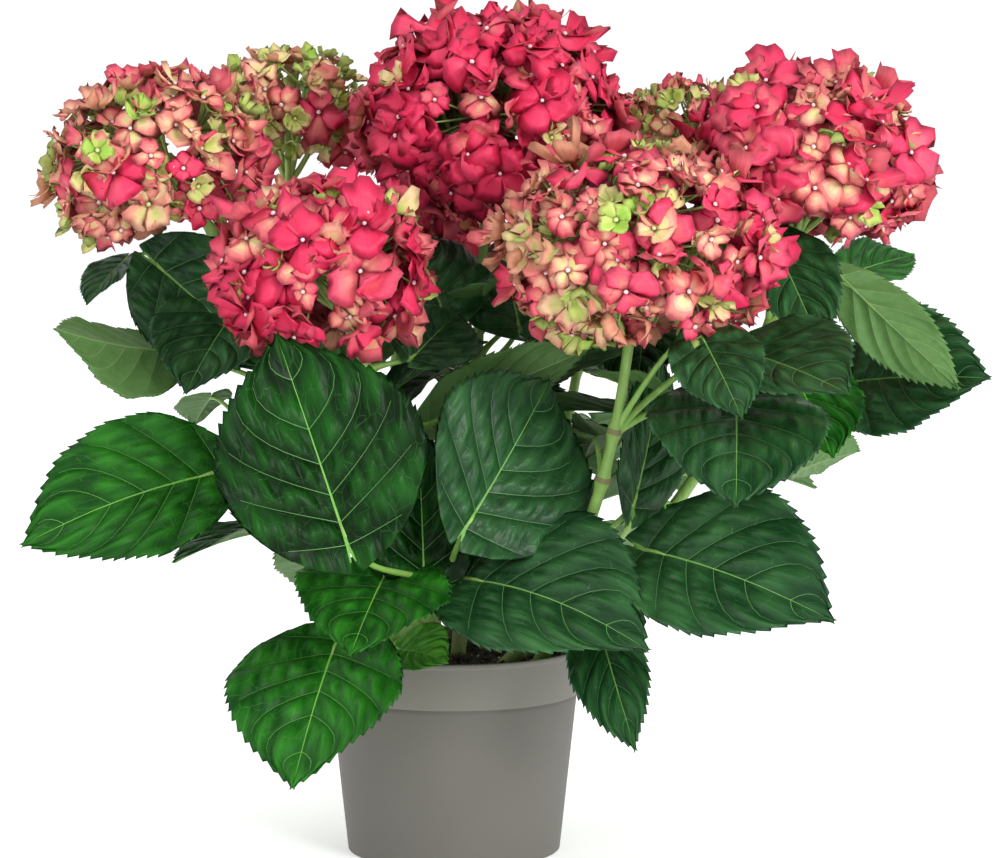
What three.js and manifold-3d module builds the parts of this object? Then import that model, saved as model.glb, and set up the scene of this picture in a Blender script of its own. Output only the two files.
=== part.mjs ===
// A mophead hydrangea in flower, in its round plastic nursery pot. Nine flowering shoots and
// five leafy ones rise from the soil. Each is a bare stem, then a mass of foliage round the
// stem that grows on from it, then a flower head on its stalk. All lengths are millimetres,
// +Z is up, the origin lies under the pot's centre and the plant's front faces -Y.

import * as THREE from "three";
import { mergeVertices } from "three/addons/utils/BufferGeometryUtils.js";
import Module from "manifold-3d";

const wasm = await Module();
wasm.setup();

// Clearance that neighbouring solids keep where the real ones touch.
const SEAT_GAP = 0.3;

// The pot: a thin-walled tapered tub with a shallow collar under its rim.
const POT_HEIGHT = 111;
const POT_RIM_RADIUS = 70;
const POT_BASE_RADIUS = 57.5;
const POT_WALL = 2.2;
const COLLAR_HEIGHT = 25;
const COLLAR_STEP = 1.3;
const COLLAR_TAPER = 2.1;
const GROOVE_DEPTH = 0.4;
const GROOVE_REACH = 2;
const RIM_LIP = 0.7;
const LIP_HEIGHT = 3;
const BASE_ROUNDING = 3;
const FLOOR_THICKNESS = 3;
const ROUND_SIDES = 32;

// The soil stops a little below the rim and is flat where the stems leave it.
const SOIL_LEVEL = 103;
const SOIL_FLAT_RADIUS = 48;
const SOIL_EDGE_DROP = 1.5;

// Stems, from the soil to the flower head.
const STEM_FOOT_RADIUS = 4.6;
const STEM_TOP_RADIUS = 3.1;
const STEM_SIDES = 7;
const STEM_STEPS = 4;
const STALK_STEPS = 3;

// Leaves: ovate blades, folded slightly upward along the midrib, on round petioles.
const PETIOLE_RADIUS = 2.1;
const PETIOLE_SINK = 0.14;
const BLADE_STATIONS = [0.05, 0.22, 0.45, 0.7, 0.9];
const BLADE_FOLD = 12;
const BLADE_THICKNESS = 0.017;
const BASE_LOBE = 0.1;
const NODE_BELOW = 9;
const NODE_ABOVE = 14;

// Seeded leaves, where no leaf of the front is placed by hand.
const SEEDED_PETIOLE = [26, 44];
const SEEDED_RISE = [10, 40];
const SEEDED_PITCH = [-34, 4];
const SEEDED_LENGTH = [88, 118];
const SEEDED_HEADING = [-18, 18];
const SEEDED_ROLL = [-16, 16];
const SEEDED_DROOP = [14, 34];
const SEEDED_BROADNESS = 0.74;
const UPPER_LEAF_SHRINK = 0.11;
const LEAF_SEED = 2417;
const LEAF_CLEARANCE = 15;
const STEM_CLEARANCE = 11;
const HEAD_CLEARANCE = 6;
const FRONT_LIMIT = -20;
const POT_KEEP_OUT = 84;

// Flower heads: florets of four sepals over a smaller core, carried by rays.
const CORE_SHARE = 0.7;
const ROOT_SINK = 0.14;
const FLORET_AREA = 320;
const FEWEST_FLORETS = 8;
const FLORET_SPREAD = 1.45;
const FLORET_DEPTH = 0.86;
const DEPTH_STEP = 0.07;
const DEPTH_JITTER = 0.03;
const AZIMUTH_JITTER = 40;
const SEPALS = 4;
const RAY_RADIUS = 1.8;
const RAYS = 4;
const FIRST_HEAD_SEED = 100;

const GOLDEN_ANGLE = 137.508;
const UP = new THREE.Vector3(0, 0, 1);

// Each shoot leaves the soil at its foot, bends by its knee and ends in its tip. The leaf
// pairs sit at the shares of its length in nodes, and turn is the heading of the lowest pair.
const SHOOTS = [
  {
    name: "left", foot: [-22, 4], knee: [-78, -2, 290], tip: [-160, -10, 372],
    nodes: [0.4, 0.62, 0.8], turn: 100, head: { across: 63, high: 53, lean: 18, lowest: -0.75 },
  },
  {
    name: "left_back", foot: [-14, 20], knee: [-112, 96, 230], tip: [-92, 110, 402],
    nodes: [0.35, 0.55, 0.72], turn: 150, head: { across: 47, high: 36, lean: 0, lowest: -0.2 },
  },
  {
    name: "centre", foot: [2, 12], knee: [12, 46, 250], tip: [20, 45, 395],
    nodes: [0.3, 0.5, 0.7], turn: 80, head: { across: 78, high: 64, lean: 0, lowest: -0.88 },
  },
  {
    name: "right_back", foot: [20, 26], knee: [116, 100, 210], tip: [128, 114, 384],
    nodes: [0.35, 0.56, 0.76], turn: 20, head: { across: 45, high: 36, lean: 0, lowest: -0.4 },
  },
  {
    name: "right", foot: [28, 4], knee: [165, 10, 190], tip: [192, 0, 374],
    nodes: [0.34, 0.52, 0.74], turn: 60, head: { across: 65, high: 53, lean: 14, lowest: -0.75 },
  },
  {
    name: "front_left", foot: [-8, -12], knee: [-16, -36, 205], tip: [-66, -74, 317],
    nodes: [0.45, 0.62, 0.76], turn: 90, head: { across: 59, high: 50, lean: 6, lowest: -0.8 },
  },
  {
    name: "front_right", foot: [24, -16], knee: [86, -84, 165], tip: [95, -90, 328],
    nodes: [0.4, 0.58, 0.68], turn: 30, head: { across: 78, high: 58, lean: 0, lowest: -0.72 },
  },
  {
    name: "back_left", foot: [-6, 34], knee: [-44, 120, 190], tip: [-32, 164, 318],
    nodes: [0.35, 0.55, 0.74], turn: 60, head: { across: 54, high: 44, lean: 4, lowest: -0.6 },
  },
  {
    name: "back_right", foot: [16, 42], knee: [66, 130, 180], tip: [80, 164, 322],
    nodes: [0.35, 0.55, 0.74], turn: 120, head: { across: 54, high: 44, lean: 4, lowest: -0.6 },
  },
  {
    name: "low_back", foot: [-20, 46], knee: [-40, 76, 150], tip: [-78, 98, 196],
    nodes: [0.3, 0.62, 0.96], turn: 115,
  },
  {
    name: "low_side", foot: [44, 22], knee: [70, 56, 140], tip: [112, 74, 186],
    nodes: [0.3, 0.62, 0.96], turn: 10,
  },
  {
    name: "low_front", foot: [-38, -36], knee: [-30, -42, 126], tip: [-2, -52, 146],
    nodes: [0.4, 0.7, 0.97], turn: -100,
  },
  {
    name: "low_left", foot: [-36, -6], knee: [-58, -16, 160], tip: [-92, -22, 205],
    nodes: [0.6, 0.96], turn: 190,
  },
  {
    name: "low_right", foot: [44, -12], knee: [56, -30, 125], tip: [72, -40, 158],
    nodes: [0.55, 0.96], turn: -30,
  },
];

// Leaves of the front, placed one by one. The seat is where the petiole meets the blade, the
// heading is the way the blade points (0 along +X, 90 along +Y), the pitch its climb, the
// roll its turn about the midrib and the droop the bend along it, all in degrees.
const PLACED_LEAVES = [
  leaf("low_left", [-117, -61, 212], -168, -19, 52, 115, 86, 38),
  leaf("low_left", [-131, 6, 246], 105, -21, 8, 56, 32, 10),
  leaf("low_front", [-50, -138, 179], 150, 68, 50, 116, 108, 8),
  leaf("low_front", [6, -100, 184], 55, 43, -66, 108, 102, 12),
  leaf("low_front", [4, -74, 157], -33, -14, -33, 120, 106, 42),
  leaf("low_front", [-59, -74, 127], -105, -41, 0, 101, 93, 18),
  leaf("low_front", [-33, -72, 162], -101, -21, 7, 92, 80, 15),
  leaf("low_front", [-29, -62, 118], -43, -5, -33, 38, 40, 30),
  leaf("low_front", [-14, -84, 150], 100, 75, -3, 88, 60, 10),
  leaf("low_right", [98, -70, 172], -35, -14, -40, 120, 100, 28),
  leaf("low_right", [74, -72, 141], -76, -38, -33, 99, 42, 10),
  leaf("left", [-164, 6, 320], -34, -33, -66, 102, 68, 10),
  leaf("left", [-148, -20, 271], -146, 12, -148, 73, 73, 20),
  leaf("left", [-178, 25, 320], -122, -35, -2, 43, 30, 18),
  leaf("left_back", [-82, 27, 340], -128, -2, 22, 60, 50, 15),
  leaf("left", [-114, -8, 296], -112, -34, 10, 78, 72, 20),
  leaf("front_left", [-15, -35, 232], 7, 25, 55, 100, 44, 15),
  leaf("front_left", [-22, -52, 269], 66, 20, -33, 64, 54, 10),
  leaf("centre", [-4, 0, 287], 106, 30, 0, 90, 66, 10),
  leaf("centre", [36, 10, 281], 98, 32, 21, 90, 66, 10),
  leaf("front_right", [94, -59, 190], 73, 52, -54, 98, 46, 15),
  leaf("front_right", [126, -105, 287], -69, -38, -19, 66, 48, 15),
  leaf("front_right", [148, -62, 252], -94, -30, 3, 100, 94, 15),
  leaf("front_right", [146, -74, 276], -55, -11, -24, 92, 74, 15),
  leaf("right", [169, -12, 333], -71, -40, -19, 88, 50, 15),
  leaf("right", [204, -20, 313], -34, -39, 118, 93, 38, 15),
  leaf("right", [211, 8, 253], -38, 4, -58, 91, 80, 20),
  leaf("right", [180, 0, 263], -73, -35, -3, 78, 60, 15),
  leaf("right_back", [211, 45, 308], 46, 9, -36, 70, 36, 10),
  leaf("right_back", [189, 20, 205], 51, 5, 49, 60, 36, 10),
];

// Returns one leaf record from its plain values.
function leaf(shoot, seat, heading, pitch, roll, length, width, droop) {
  return { shoot, seat: new THREE.Vector3(...seat), heading, pitch, roll, length, width, droop };
}

function radians(degrees) {
  return THREE.MathUtils.degToRad(degrees);
}

// A linear congruential generator, so that every run grows the same plant.
function seeded(seed) {
  let state = seed >>> 0;
  return () => {
    state = (Math.imul(state, 1664525) + 1013904223) >>> 0;
    return state / 4294967296;
  };
}

function between(random, [low, high]) {
  return low + (high - low) * random();
}

// Turns lists of corners and triangles into a three.js geometry.
function geometryOf(corners, triangles) {
  const geometry = new THREE.BufferGeometry();
  const numbers = corners.flatMap((p) => [p.x, p.y, p.z]);
  geometry.setAttribute("position", new THREE.Float32BufferAttribute(numbers, 3));
  geometry.setIndex(triangles.flat());
  return geometry;
}

// Turns a closed three.js geometry into a solid that can be joined and cut, faces outward.
function solidOf(geometry) {
  const bare = geometry.clone();
  bare.deleteAttribute("normal");
  bare.deleteAttribute("uv");
  const welded = mergeVertices(bare);
  const vertProperties = new Float32Array(welded.attributes.position.array);
  const triVerts = new Uint32Array(welded.index.array);
  const solid = new wasm.Manifold(new wasm.Mesh({ numProp: 3, vertProperties, triVerts }));
  if (solid.volume() > 0) return solid;
  const turned = triVerts.map((corner, i) => triVerts[i % 3 === 0 ? i : i % 3 === 1 ? i + 1 : i - 1]);
  return new wasm.Manifold(new wasm.Mesh({ numProp: 3, vertProperties, triVerts: turned }));
}

// Keeps the largest body of a solid: scraps go, and so do hollows that fusing sealed.
function largestBody(solid) {
  const bodies = solid.decompose();
  return bodies.reduce((best, body) => (body.volume() > best.volume() ? body : best));
}

function addNode(group, name, solid, material) {
  const mesh = largestBody(solid).getMesh();
  const geometry = new THREE.BufferGeometry();
  geometry.setAttribute("position", new THREE.BufferAttribute(new Float32Array(mesh.vertProperties), 3));
  geometry.setIndex(Array.from(mesh.triVerts));
  geometry.computeVertexNormals();
  const node = new THREE.Mesh(geometry, material);
  node.name = name;
  group.add(node);
}

function finish(color, roughness) {
  return new THREE.MeshStandardMaterial({ color, roughness, metalness: 0 });
}

// A unit vector square to the given one: level, or level with X where the given one is upright.
function squareTo(vector) {
  const upright = Math.abs(vector.z) > 0.9 * vector.length();
  return new THREE.Vector3().crossVectors(vector, upright ? new THREE.Vector3(0, 1, 0) : UP).normalize();
}

// A tapering limb along a curve between two shares of its length, with flat ends.
function limb(curve, from, to, startRadius, endRadius, steps, sides) {
  const corners = [];
  const triangles = [];
  const reference = squareTo(curve.getPoint(to).sub(curve.getPoint(from)));
  for (let i = 0; i <= steps; i += 1) {
    const share = i / steps;
    const t = from + (to - from) * share;
    const centre = curve.getPoint(t);
    const along = curve.getTangent(t);
    const across = new THREE.Vector3().crossVectors(along, reference).normalize();
    const side = new THREE.Vector3().crossVectors(across, along).normalize();
    const radius = startRadius + (endRadius - startRadius) * share;
    for (let j = 0; j < sides; j += 1) {
      const angle = (2 * Math.PI * j) / sides;
      const level = side.clone().multiplyScalar(radius * Math.cos(angle));
      corners.push(level.addScaledVector(across, radius * Math.sin(angle)).add(centre));
    }
  }
  for (let i = 0; i < steps; i += 1) {
    for (let j = 0; j < sides; j += 1) {
      const a = i * sides + j;
      const b = i * sides + ((j + 1) % sides);
      triangles.push([a, a + sides, b], [b, a + sides, b + sides]);
    }
  }
  const last = steps * sides;
  for (let j = 1; j < sides - 1; j += 1) {
    triangles.push([0, j, j + 1], [last, last + j + 1, last + j]);
  }
  return solidOf(geometryOf(corners, triangles));
}

// The blade's own axes: forward along the midrib, side to its right and up from its face.
function bladeAxes({ heading, pitch, roll }) {
  const h = radians(heading);
  const p = radians(pitch);
  const r = radians(roll);
  const forward = new THREE.Vector3(Math.cos(h) * Math.cos(p), Math.sin(h) * Math.cos(p), Math.sin(p));
  const level = new THREE.Vector3(Math.sin(h), -Math.cos(h), 0);
  const lift = new THREE.Vector3().crossVectors(level, forward);
  const side = level.clone().multiplyScalar(Math.cos(r)).addScaledVector(lift, Math.sin(r));
  const up = lift.clone().multiplyScalar(Math.cos(r)).addScaledVector(level, -Math.sin(r));
  return { forward, side, up };
}

// Half the blade's width at a share of its length: broad below the middle, drawn to a point.
function halfWidth(blade, share) {
  const oval = Math.sin(Math.PI * share ** 0.8) ** 0.75;
  return (blade.width / 2) * oval * (1 - 0.45 * share ** 10);
}

// A point of the blade's middle surface: share runs along the midrib and across from -1 to 1.
function bladePoint(blade, share, across) {
  const { forward, side, up } = bladeAxes(blade);
  const bend = radians(blade.droop);
  const radius = blade.length / bend;
  const angle = (share - 0.5) * bend;
  const half = share <= 0 || share >= 1 ? 0 : halfWidth(blade, share);
  const setBack = BASE_LOBE * blade.length * (1 - share) ** 4 * Math.abs(across);
  const reach = radius * (Math.sin(angle) + Math.sin(bend / 2)) - setBack;
  const height = radius * (Math.cos(angle) - Math.cos(bend / 2));
  const fold = radians(BLADE_FOLD);
  return blade.seat
    .clone()
    .addScaledVector(forward, reach)
    .addScaledVector(up, height + half * Math.abs(across) * Math.sin(fold))
    .addScaledVector(side, half * across * Math.cos(fold));
}

// The blade as a closed thin lens: thickest along the midrib, sharp at its margin.
function bladeSolid(blade) {
  const { up } = bladeAxes(blade);
  const thickness = BLADE_THICKNESS * blade.length;
  const corners = [bladePoint(blade, 0, 0)];
  for (const share of BLADE_STATIONS) {
    const middle = bladePoint(blade, share, 0);
    corners.push(
      bladePoint(blade, share, -1),
      middle.clone().addScaledVector(up, thickness / 2),
      bladePoint(blade, share, 1),
      middle.clone().addScaledVector(up, -thickness / 2),
    );
  }
  corners.push(bladePoint(blade, 1, 0));
  const tip = corners.length - 1;
  const triangles = [];
  for (let j = 0; j < 4; j += 1) {
    triangles.push([0, 1 + j, 1 + ((j + 1) % 4)]);
    triangles.push([tip, tip - 4 + ((j + 1) % 4), tip - 4 + j]);
  }
  for (let i = 0; i < BLADE_STATIONS.length - 1; i += 1) {
    for (let j = 0; j < 4; j += 1) {
      const a = 1 + 4 * i + j;
      const b = 1 + 4 * i + ((j + 1) % 4);
      triangles.push([a, a + 4, b], [b, a + 4, b + 4]);
    }
  }
  return solidOf(geometryOf(corners, triangles));
}

// The petiole leaves its node outward and rises into the blade's root, along the midrib.
function petioleSolid(blade, curve, node) {
  const start = curve.getPoint(node);
  const end = bladePoint(blade, PETIOLE_SINK, 0);
  const { forward } = bladeAxes(blade);
  const span = start.distanceTo(blade.seat);
  const path = new THREE.CubicBezierCurve3(
    start,
    start.clone().lerp(blade.seat, 0.4).add(new THREE.Vector3(0, 0, 0.12 * span)),
    blade.seat.clone().addScaledVector(forward, -0.22 * span),
    end,
  );
  return limb(path, 0, 1, PETIOLE_RADIUS, PETIOLE_RADIUS * 0.7, 3, 3);
}

// Points spread over a blade, to test that two leaves keep apart.
function bladeSamples(blade) {
  const samples = [];
  for (const share of [0.05, 0.25, 0.45, 0.65, 0.85, 1]) {
    for (const across of [-1, -0.5, 0, 0.5, 1]) {
      samples.push(bladePoint(blade, share, across));
    }
  }
  return samples;
}

function shootCurve(shoot) {
  return new THREE.QuadraticBezierCurve3(
    new THREE.Vector3(shoot.foot[0], shoot.foot[1], SOIL_LEVEL - 4),
    new THREE.Vector3(...shoot.knee),
    new THREE.Vector3(...shoot.tip),
  );
}

// The direction that a flower head faces: up, leaning outward from the plant's middle.
function headAxis(shoot) {
  const outward = new THREE.Vector3(shoot.tip[0], shoot.tip[1], 0).normalize();
  const lean = radians(shoot.head.lean);
  return UP.clone().multiplyScalar(Math.cos(lean)).addScaledVector(outward, Math.sin(lean));
}

function insideHead(point, shoot) {
  const offset = point.clone().sub(new THREE.Vector3(...shoot.tip));
  const axis = headAxis(shoot);
  const rise = offset.dot(axis);
  const away = offset.clone().addScaledVector(axis, -rise).length();
  const { high, across } = shoot.head;
  return (rise / (high + HEAD_CLEARANCE)) ** 2 + (away / (across + HEAD_CLEARANCE)) ** 2 < 1;
}

// Whether a new blade keeps its own space: clear of the pot, heads, stems and other leaves.
function keepsApart(samples, taken, stemPoints) {
  return samples.every((point) => {
    if (point.y < FRONT_LIMIT) return false;
    if (point.z < POT_HEIGHT + HEAD_CLEARANCE && Math.hypot(point.x, point.y) < POT_KEEP_OUT) return false;
    if (SHOOTS.some((shoot) => shoot.head && insideHead(point, shoot))) return false;
    if (stemPoints.some((stem) => stem.distanceTo(point) < STEM_CLEARANCE)) return false;
    return taken.every((other) => other.distanceTo(point) >= LEAF_CLEARANCE);
  });
}

// Grows the seeded leaves: a pair at each node, each pair a quarter turn on from the last.
function seededLeaves(placed) {
  const random = seeded(LEAF_SEED);
  const taken = placed.flatMap((blade) => bladeSamples(blade));
  const stemPoints = SHOOTS.flatMap((shoot) => shootCurve(shoot).getPoints(24));
  const grown = [];
  for (const shoot of SHOOTS) {
    const curve = shootCurve(shoot);
    shoot.nodes.forEach((node, level) => {
      for (const half of [0, 180]) {
        const heading = shoot.turn + 90 * level + half + between(random, SEEDED_HEADING);
        const rise = radians(between(random, SEEDED_RISE));
        const petiole = between(random, SEEDED_PETIOLE);
        const length = between(random, SEEDED_LENGTH) * (1 - UPPER_LEAF_SHRINK * level);
        const outward = new THREE.Vector3(
          Math.cos(radians(heading)) * Math.cos(rise),
          Math.sin(radians(heading)) * Math.cos(rise),
          Math.sin(rise),
        );
        const blade = {
          shoot: shoot.name,
          seat: curve.getPoint(node).addScaledVector(outward, petiole),
          heading,
          pitch: between(random, SEEDED_PITCH),
          roll: between(random, SEEDED_ROLL),
          length,
          width: length * SEEDED_BROADNESS,
          droop: between(random, SEEDED_DROOP),
        };
        const samples = bladeSamples(blade);
        if (keepsApart(samples, taken, stemPoints)) {
          grown.push(blade);
          taken.push(...samples);
        }
      }
    });
  }
  return grown;
}

// The node of a shoot that a leaf's petiole springs from: the nearest one below its seat.
function nodeFor(blade, shoot) {
  const curve = shootCurve(shoot);
  const cost = (node) => {
    const point = curve.getPoint(node);
    const below = blade.seat.z - point.z;
    return blade.seat.distanceTo(point) + (below < 0 ? 2 * -below : 0);
  };
  return shoot.nodes.reduce((best, node) => (cost(node) < cost(best) ? node : best));
}

// One floret: four pointed sepals round a raised middle, drawn to a root underneath.
function floretSolid(centre, root, normal, radius, turn) {
  const first = squareTo(normal);
  const second = new THREE.Vector3().crossVectors(normal, first);
  const corners = [centre.clone().addScaledVector(normal, 0.12 * radius)];
  for (let j = 0; j < SEPALS; j += 1) {
    const angle = turn + (2 * Math.PI * j) / SEPALS;
    corners.push(
      centre
        .clone()
        .addScaledVector(first, radius * Math.cos(angle))
        .addScaledVector(second, radius * Math.sin(angle)),
    );
  }
  corners.push(root);
  const last = corners.length - 1;
  const triangles = [];
  for (let j = 0; j < SEPALS; j += 1) {
    const a = 1 + j;
    const b = 1 + ((j + 1) % SEPALS);
    triangles.push([0, a, b], [last, b, a]);
  }
  return solidOf(geometryOf(corners, triangles));
}

// A flower head on its stalk: rays spread from the stalk into a core that florets cover.
function headSolid(shoot, curve, stalkStart, seed) {
  const random = seeded(seed);
  const { across, high } = shoot.head;
  const centre = new THREE.Vector3(...shoot.tip);
  const axis = headAxis(shoot);
  const turnUp = new THREE.Quaternion().setFromUnitVectors(UP, axis);
  const core = new THREE.IcosahedronGeometry(1, 1)
    .scale(across * CORE_SHARE, across * CORE_SHARE, high * CORE_SHARE)
    .applyQuaternion(turnUp)
    .translate(centre.x, centre.y, centre.z);
  const endRadius = 0.9 * STEM_TOP_RADIUS;
  const stalk = limb(curve, stalkStart, 1, STEM_TOP_RADIUS, endRadius, STALK_STEPS, STEM_SIDES - 1);
  let solid = solidOf(core).add(stalk);
  const fork = curve.getPoint(stalkStart + 0.45 * (1 - stalkStart));
  for (let i = 0; i < RAYS; i += 1) {
    const angle = (2 * Math.PI * i) / RAYS + 0.5;
    const end = new THREE.Vector3(Math.cos(angle) * across * 0.5, Math.sin(angle) * across * 0.5, 0)
      .applyQuaternion(turnUp)
      .add(centre);
    solid = solid.add(limb(new THREE.LineCurve3(fork, end), 0, 1, RAY_RADIUS, RAY_RADIUS * 0.8, 1, 3));
  }
  const count = Math.round((across * across) / FLORET_AREA) + FEWEST_FLORETS;
  const radius = (FLORET_SPREAD * across) / Math.sqrt(count);
  for (let i = 0; i < count; i += 1) {
    const polar = Math.acos(1 - ((1 - shoot.head.lowest) * (i + 0.5)) / count);
    const azimuth = radians(GOLDEN_ANGLE * i + AZIMUTH_JITTER * random());
    const direction = new THREE.Vector3(
      Math.sin(polar) * Math.cos(azimuth),
      Math.sin(polar) * Math.sin(azimuth),
      Math.cos(polar),
    );
    const depth = FLORET_DEPTH + DEPTH_STEP * (i % 2) + DEPTH_JITTER * random();
    const reach = direction.clone().multiply(new THREE.Vector3(across, across, high)).applyQuaternion(turnUp);
    const place = centre.clone().addScaledVector(reach, depth);
    const root = centre.clone().addScaledVector(reach, CORE_SHARE - ROOT_SINK);
    const normal = direction.clone().divide(new THREE.Vector3(across, across, high)).normalize();
    normal.applyQuaternion(turnUp);
    const turn = 2 * Math.PI * random();
    solid = solid.add(floretSolid(place, root, normal, radius * (0.9 + 0.2 * random()), turn));
  }
  return solid;
}

// Turns a profile of radius and height pairs round the pot's axis.
function turned(profile) {
  const points = profile.map(([radius, height]) => new THREE.Vector2(radius, height));
  return new THREE.LatheGeometry(points, ROUND_SIDES).rotateX(Math.PI / 2);
}

const GROOVE_HEIGHT = POT_HEIGHT - COLLAR_HEIGHT;
const BODY_TOP_RADIUS = POT_RIM_RADIUS - COLLAR_STEP - COLLAR_TAPER;
const INNER_BODY_RADIUS = BODY_TOP_RADIUS - POT_WALL - GROOVE_DEPTH;
const INNER_COLLAR_RADIUS = BODY_TOP_RADIUS - POT_WALL + COLLAR_STEP;
const INNER_RIM_RADIUS = POT_RIM_RADIUS - POT_WALL;

// The pot's wall: base, body, the groove under the collar, the collar, the lip and the inside.
function potGeometry() {
  return turned([
    [0, 0],
    [POT_BASE_RADIUS - BASE_ROUNDING, 0],
    [POT_BASE_RADIUS - 0.2 * BASE_ROUNDING, 0.35 * BASE_ROUNDING],
    [POT_BASE_RADIUS, 1.2 * BASE_ROUNDING],
    [BODY_TOP_RADIUS, GROOVE_HEIGHT - GROOVE_REACH],
    [BODY_TOP_RADIUS - GROOVE_DEPTH, GROOVE_HEIGHT - 0.3 * GROOVE_REACH],
    [BODY_TOP_RADIUS + COLLAR_STEP, GROOVE_HEIGHT + 0.3 * GROOVE_REACH],
    [POT_RIM_RADIUS - RIM_LIP, POT_HEIGHT - LIP_HEIGHT],
    [POT_RIM_RADIUS, POT_HEIGHT - 0.7 * LIP_HEIGHT],
    [POT_RIM_RADIUS, POT_HEIGHT - 0.2 * LIP_HEIGHT],
    [POT_RIM_RADIUS - RIM_LIP, POT_HEIGHT],
    [INNER_RIM_RADIUS, POT_HEIGHT],
    [INNER_COLLAR_RADIUS, GROOVE_HEIGHT + 0.3 * GROOVE_REACH],
    [INNER_BODY_RADIUS, GROOVE_HEIGHT - GROOVE_REACH],
    [POT_BASE_RADIUS - POT_WALL, FLOOR_THICKNESS],
    [0, FLOOR_THICKNESS],
  ]);
}

// The soil fills the pot up to its level, clear of the wall by the seat gap.
function soilGeometry() {
  const edge = SOIL_LEVEL - SOIL_EDGE_DROP;
  const collarFoot = GROOVE_HEIGHT + 0.3 * GROOVE_REACH;
  const share = (edge - collarFoot) / (POT_HEIGHT - collarFoot);
  const edgeRadius = INNER_COLLAR_RADIUS + (INNER_RIM_RADIUS - INNER_COLLAR_RADIUS) * share;
  return turned([
    [0, FLOOR_THICKNESS + SEAT_GAP],
    [POT_BASE_RADIUS - POT_WALL - 1.5 * SEAT_GAP, FLOOR_THICKNESS + SEAT_GAP],
    [INNER_BODY_RADIUS - SEAT_GAP, GROOVE_HEIGHT - GROOVE_REACH],
    [INNER_COLLAR_RADIUS - SEAT_GAP, collarFoot + SEAT_GAP],
    [edgeRadius - SEAT_GAP, edge],
    [SOIL_FLAT_RADIUS, SOIL_LEVEL],
    [0, SOIL_LEVEL],
  ]);
}

// One shoot: its bare stem, the foliage round the stem that grows on, and its flower head.
function addShoot(group, shoot, leaves, seed) {
  const curve = shootCurve(shoot);
  const length = curve.getLength();
  const gap = SEAT_GAP / length;
  const foliageStart = shoot.nodes[0] - NODE_BELOW / length;
  const foliageEnd = shoot.nodes[shoot.nodes.length - 1] + NODE_ABOVE / length;
  const taper = STEM_TOP_RADIUS - STEM_FOOT_RADIUS;
  const radiusAt = (t) => STEM_FOOT_RADIUS + taper * Math.min(t / foliageEnd, 1);
  const soilBlock = new THREE.BoxGeometry(4 * POT_RIM_RADIUS, 4 * POT_RIM_RADIUS, SOIL_LEVEL);
  soilBlock.translate(0, 0, SOIL_LEVEL / 2 + SEAT_GAP);
  const startRadius = radiusAt(foliageStart);
  const stem = limb(curve, 0, foliageStart - gap, radiusAt(0), startRadius, STEM_STEPS, STEM_SIDES);
  addNode(group, "stem_" + shoot.name, stem.subtract(solidOf(soilBlock)), STEM_FINISH);

  const topEnd = Math.min(foliageEnd, 1);
  let foliage = limb(curve, foliageStart, topEnd, startRadius, radiusAt(topEnd), STALK_STEPS, STEM_SIDES - 1);
  for (const blade of leaves) {
    foliage = foliage.add(petioleSolid(blade, curve, nodeFor(blade, shoot))).add(bladeSolid(blade));
  }
  addNode(group, "foliage_" + shoot.name, foliage, LEAF_FINISH);

  if (shoot.head) {
    const head = headSolid(shoot, curve, foliageEnd + gap, seed);
    addNode(group, "bloom_" + shoot.name, head, BLOOM_FINISH);
  }
}

const STEM_FINISH = finish("#7fa14f", 0.6);
const LEAF_FINISH = finish("#2f6b35", 0.55);
const BLOOM_FINISH = finish("#cf3a58", 0.7);

const plant = new THREE.Group();
addNode(plant, "pot", solidOf(potGeometry()), finish("#7e7a72", 0.65));
addNode(plant, "soil", solidOf(soilGeometry()), finish("#2a211b", 0.95));
const allLeaves = [...PLACED_LEAVES, ...seededLeaves(PLACED_LEAVES)];
SHOOTS.forEach((shoot, i) => {
  const leaves = allLeaves.filter((blade) => blade.shoot === shoot.name);
  addShoot(plant, shoot, leaves, FIRST_HEAD_SEED + i);
});

export default plant;
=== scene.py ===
"""A mophead hydrangea in flower in its round nursery pot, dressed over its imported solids."""

import bpy
import numpy as np
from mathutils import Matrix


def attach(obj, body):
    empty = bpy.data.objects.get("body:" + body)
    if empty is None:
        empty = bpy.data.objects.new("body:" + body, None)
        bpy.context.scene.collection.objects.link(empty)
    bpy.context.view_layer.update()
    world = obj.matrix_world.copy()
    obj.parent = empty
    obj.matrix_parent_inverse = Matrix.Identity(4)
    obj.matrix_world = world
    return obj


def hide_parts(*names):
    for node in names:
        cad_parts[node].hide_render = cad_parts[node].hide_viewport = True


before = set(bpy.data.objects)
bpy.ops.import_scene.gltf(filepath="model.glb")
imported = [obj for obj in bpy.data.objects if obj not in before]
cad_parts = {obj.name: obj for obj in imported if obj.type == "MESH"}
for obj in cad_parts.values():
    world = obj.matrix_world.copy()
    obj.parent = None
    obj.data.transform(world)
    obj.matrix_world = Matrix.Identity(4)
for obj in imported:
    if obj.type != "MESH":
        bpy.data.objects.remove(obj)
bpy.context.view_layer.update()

# ---------------------------------------------------------------------------
# Pot. A thin tub of injection-moulded polypropylene, taupe grey and matt, with a
# collar that stands out over the body and a fine lip round its mouth. The soil and
# the plant stand in it.
# ---------------------------------------------------------------------------

MILLIMETRE = 0.001
POT_HEIGHT = 111.0
POT_RIM_RADIUS = 70.0
POT_BASE_RADIUS = 57.5
POT_WALL = 2.2
COLLAR_HEIGHT = 25.0
COLLAR_STEP = 1.3
COLLAR_TAPER = 2.1
RIM_LIP = 0.7
FLOOR_THICKNESS = 3.0
GROOVE_HEIGHT = POT_HEIGHT - COLLAR_HEIGHT
BODY_TOP_RADIUS = POT_RIM_RADIUS - COLLAR_STEP - COLLAR_TAPER
POT_SIDES = 144
SOIL_LEVEL = 103.0


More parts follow.
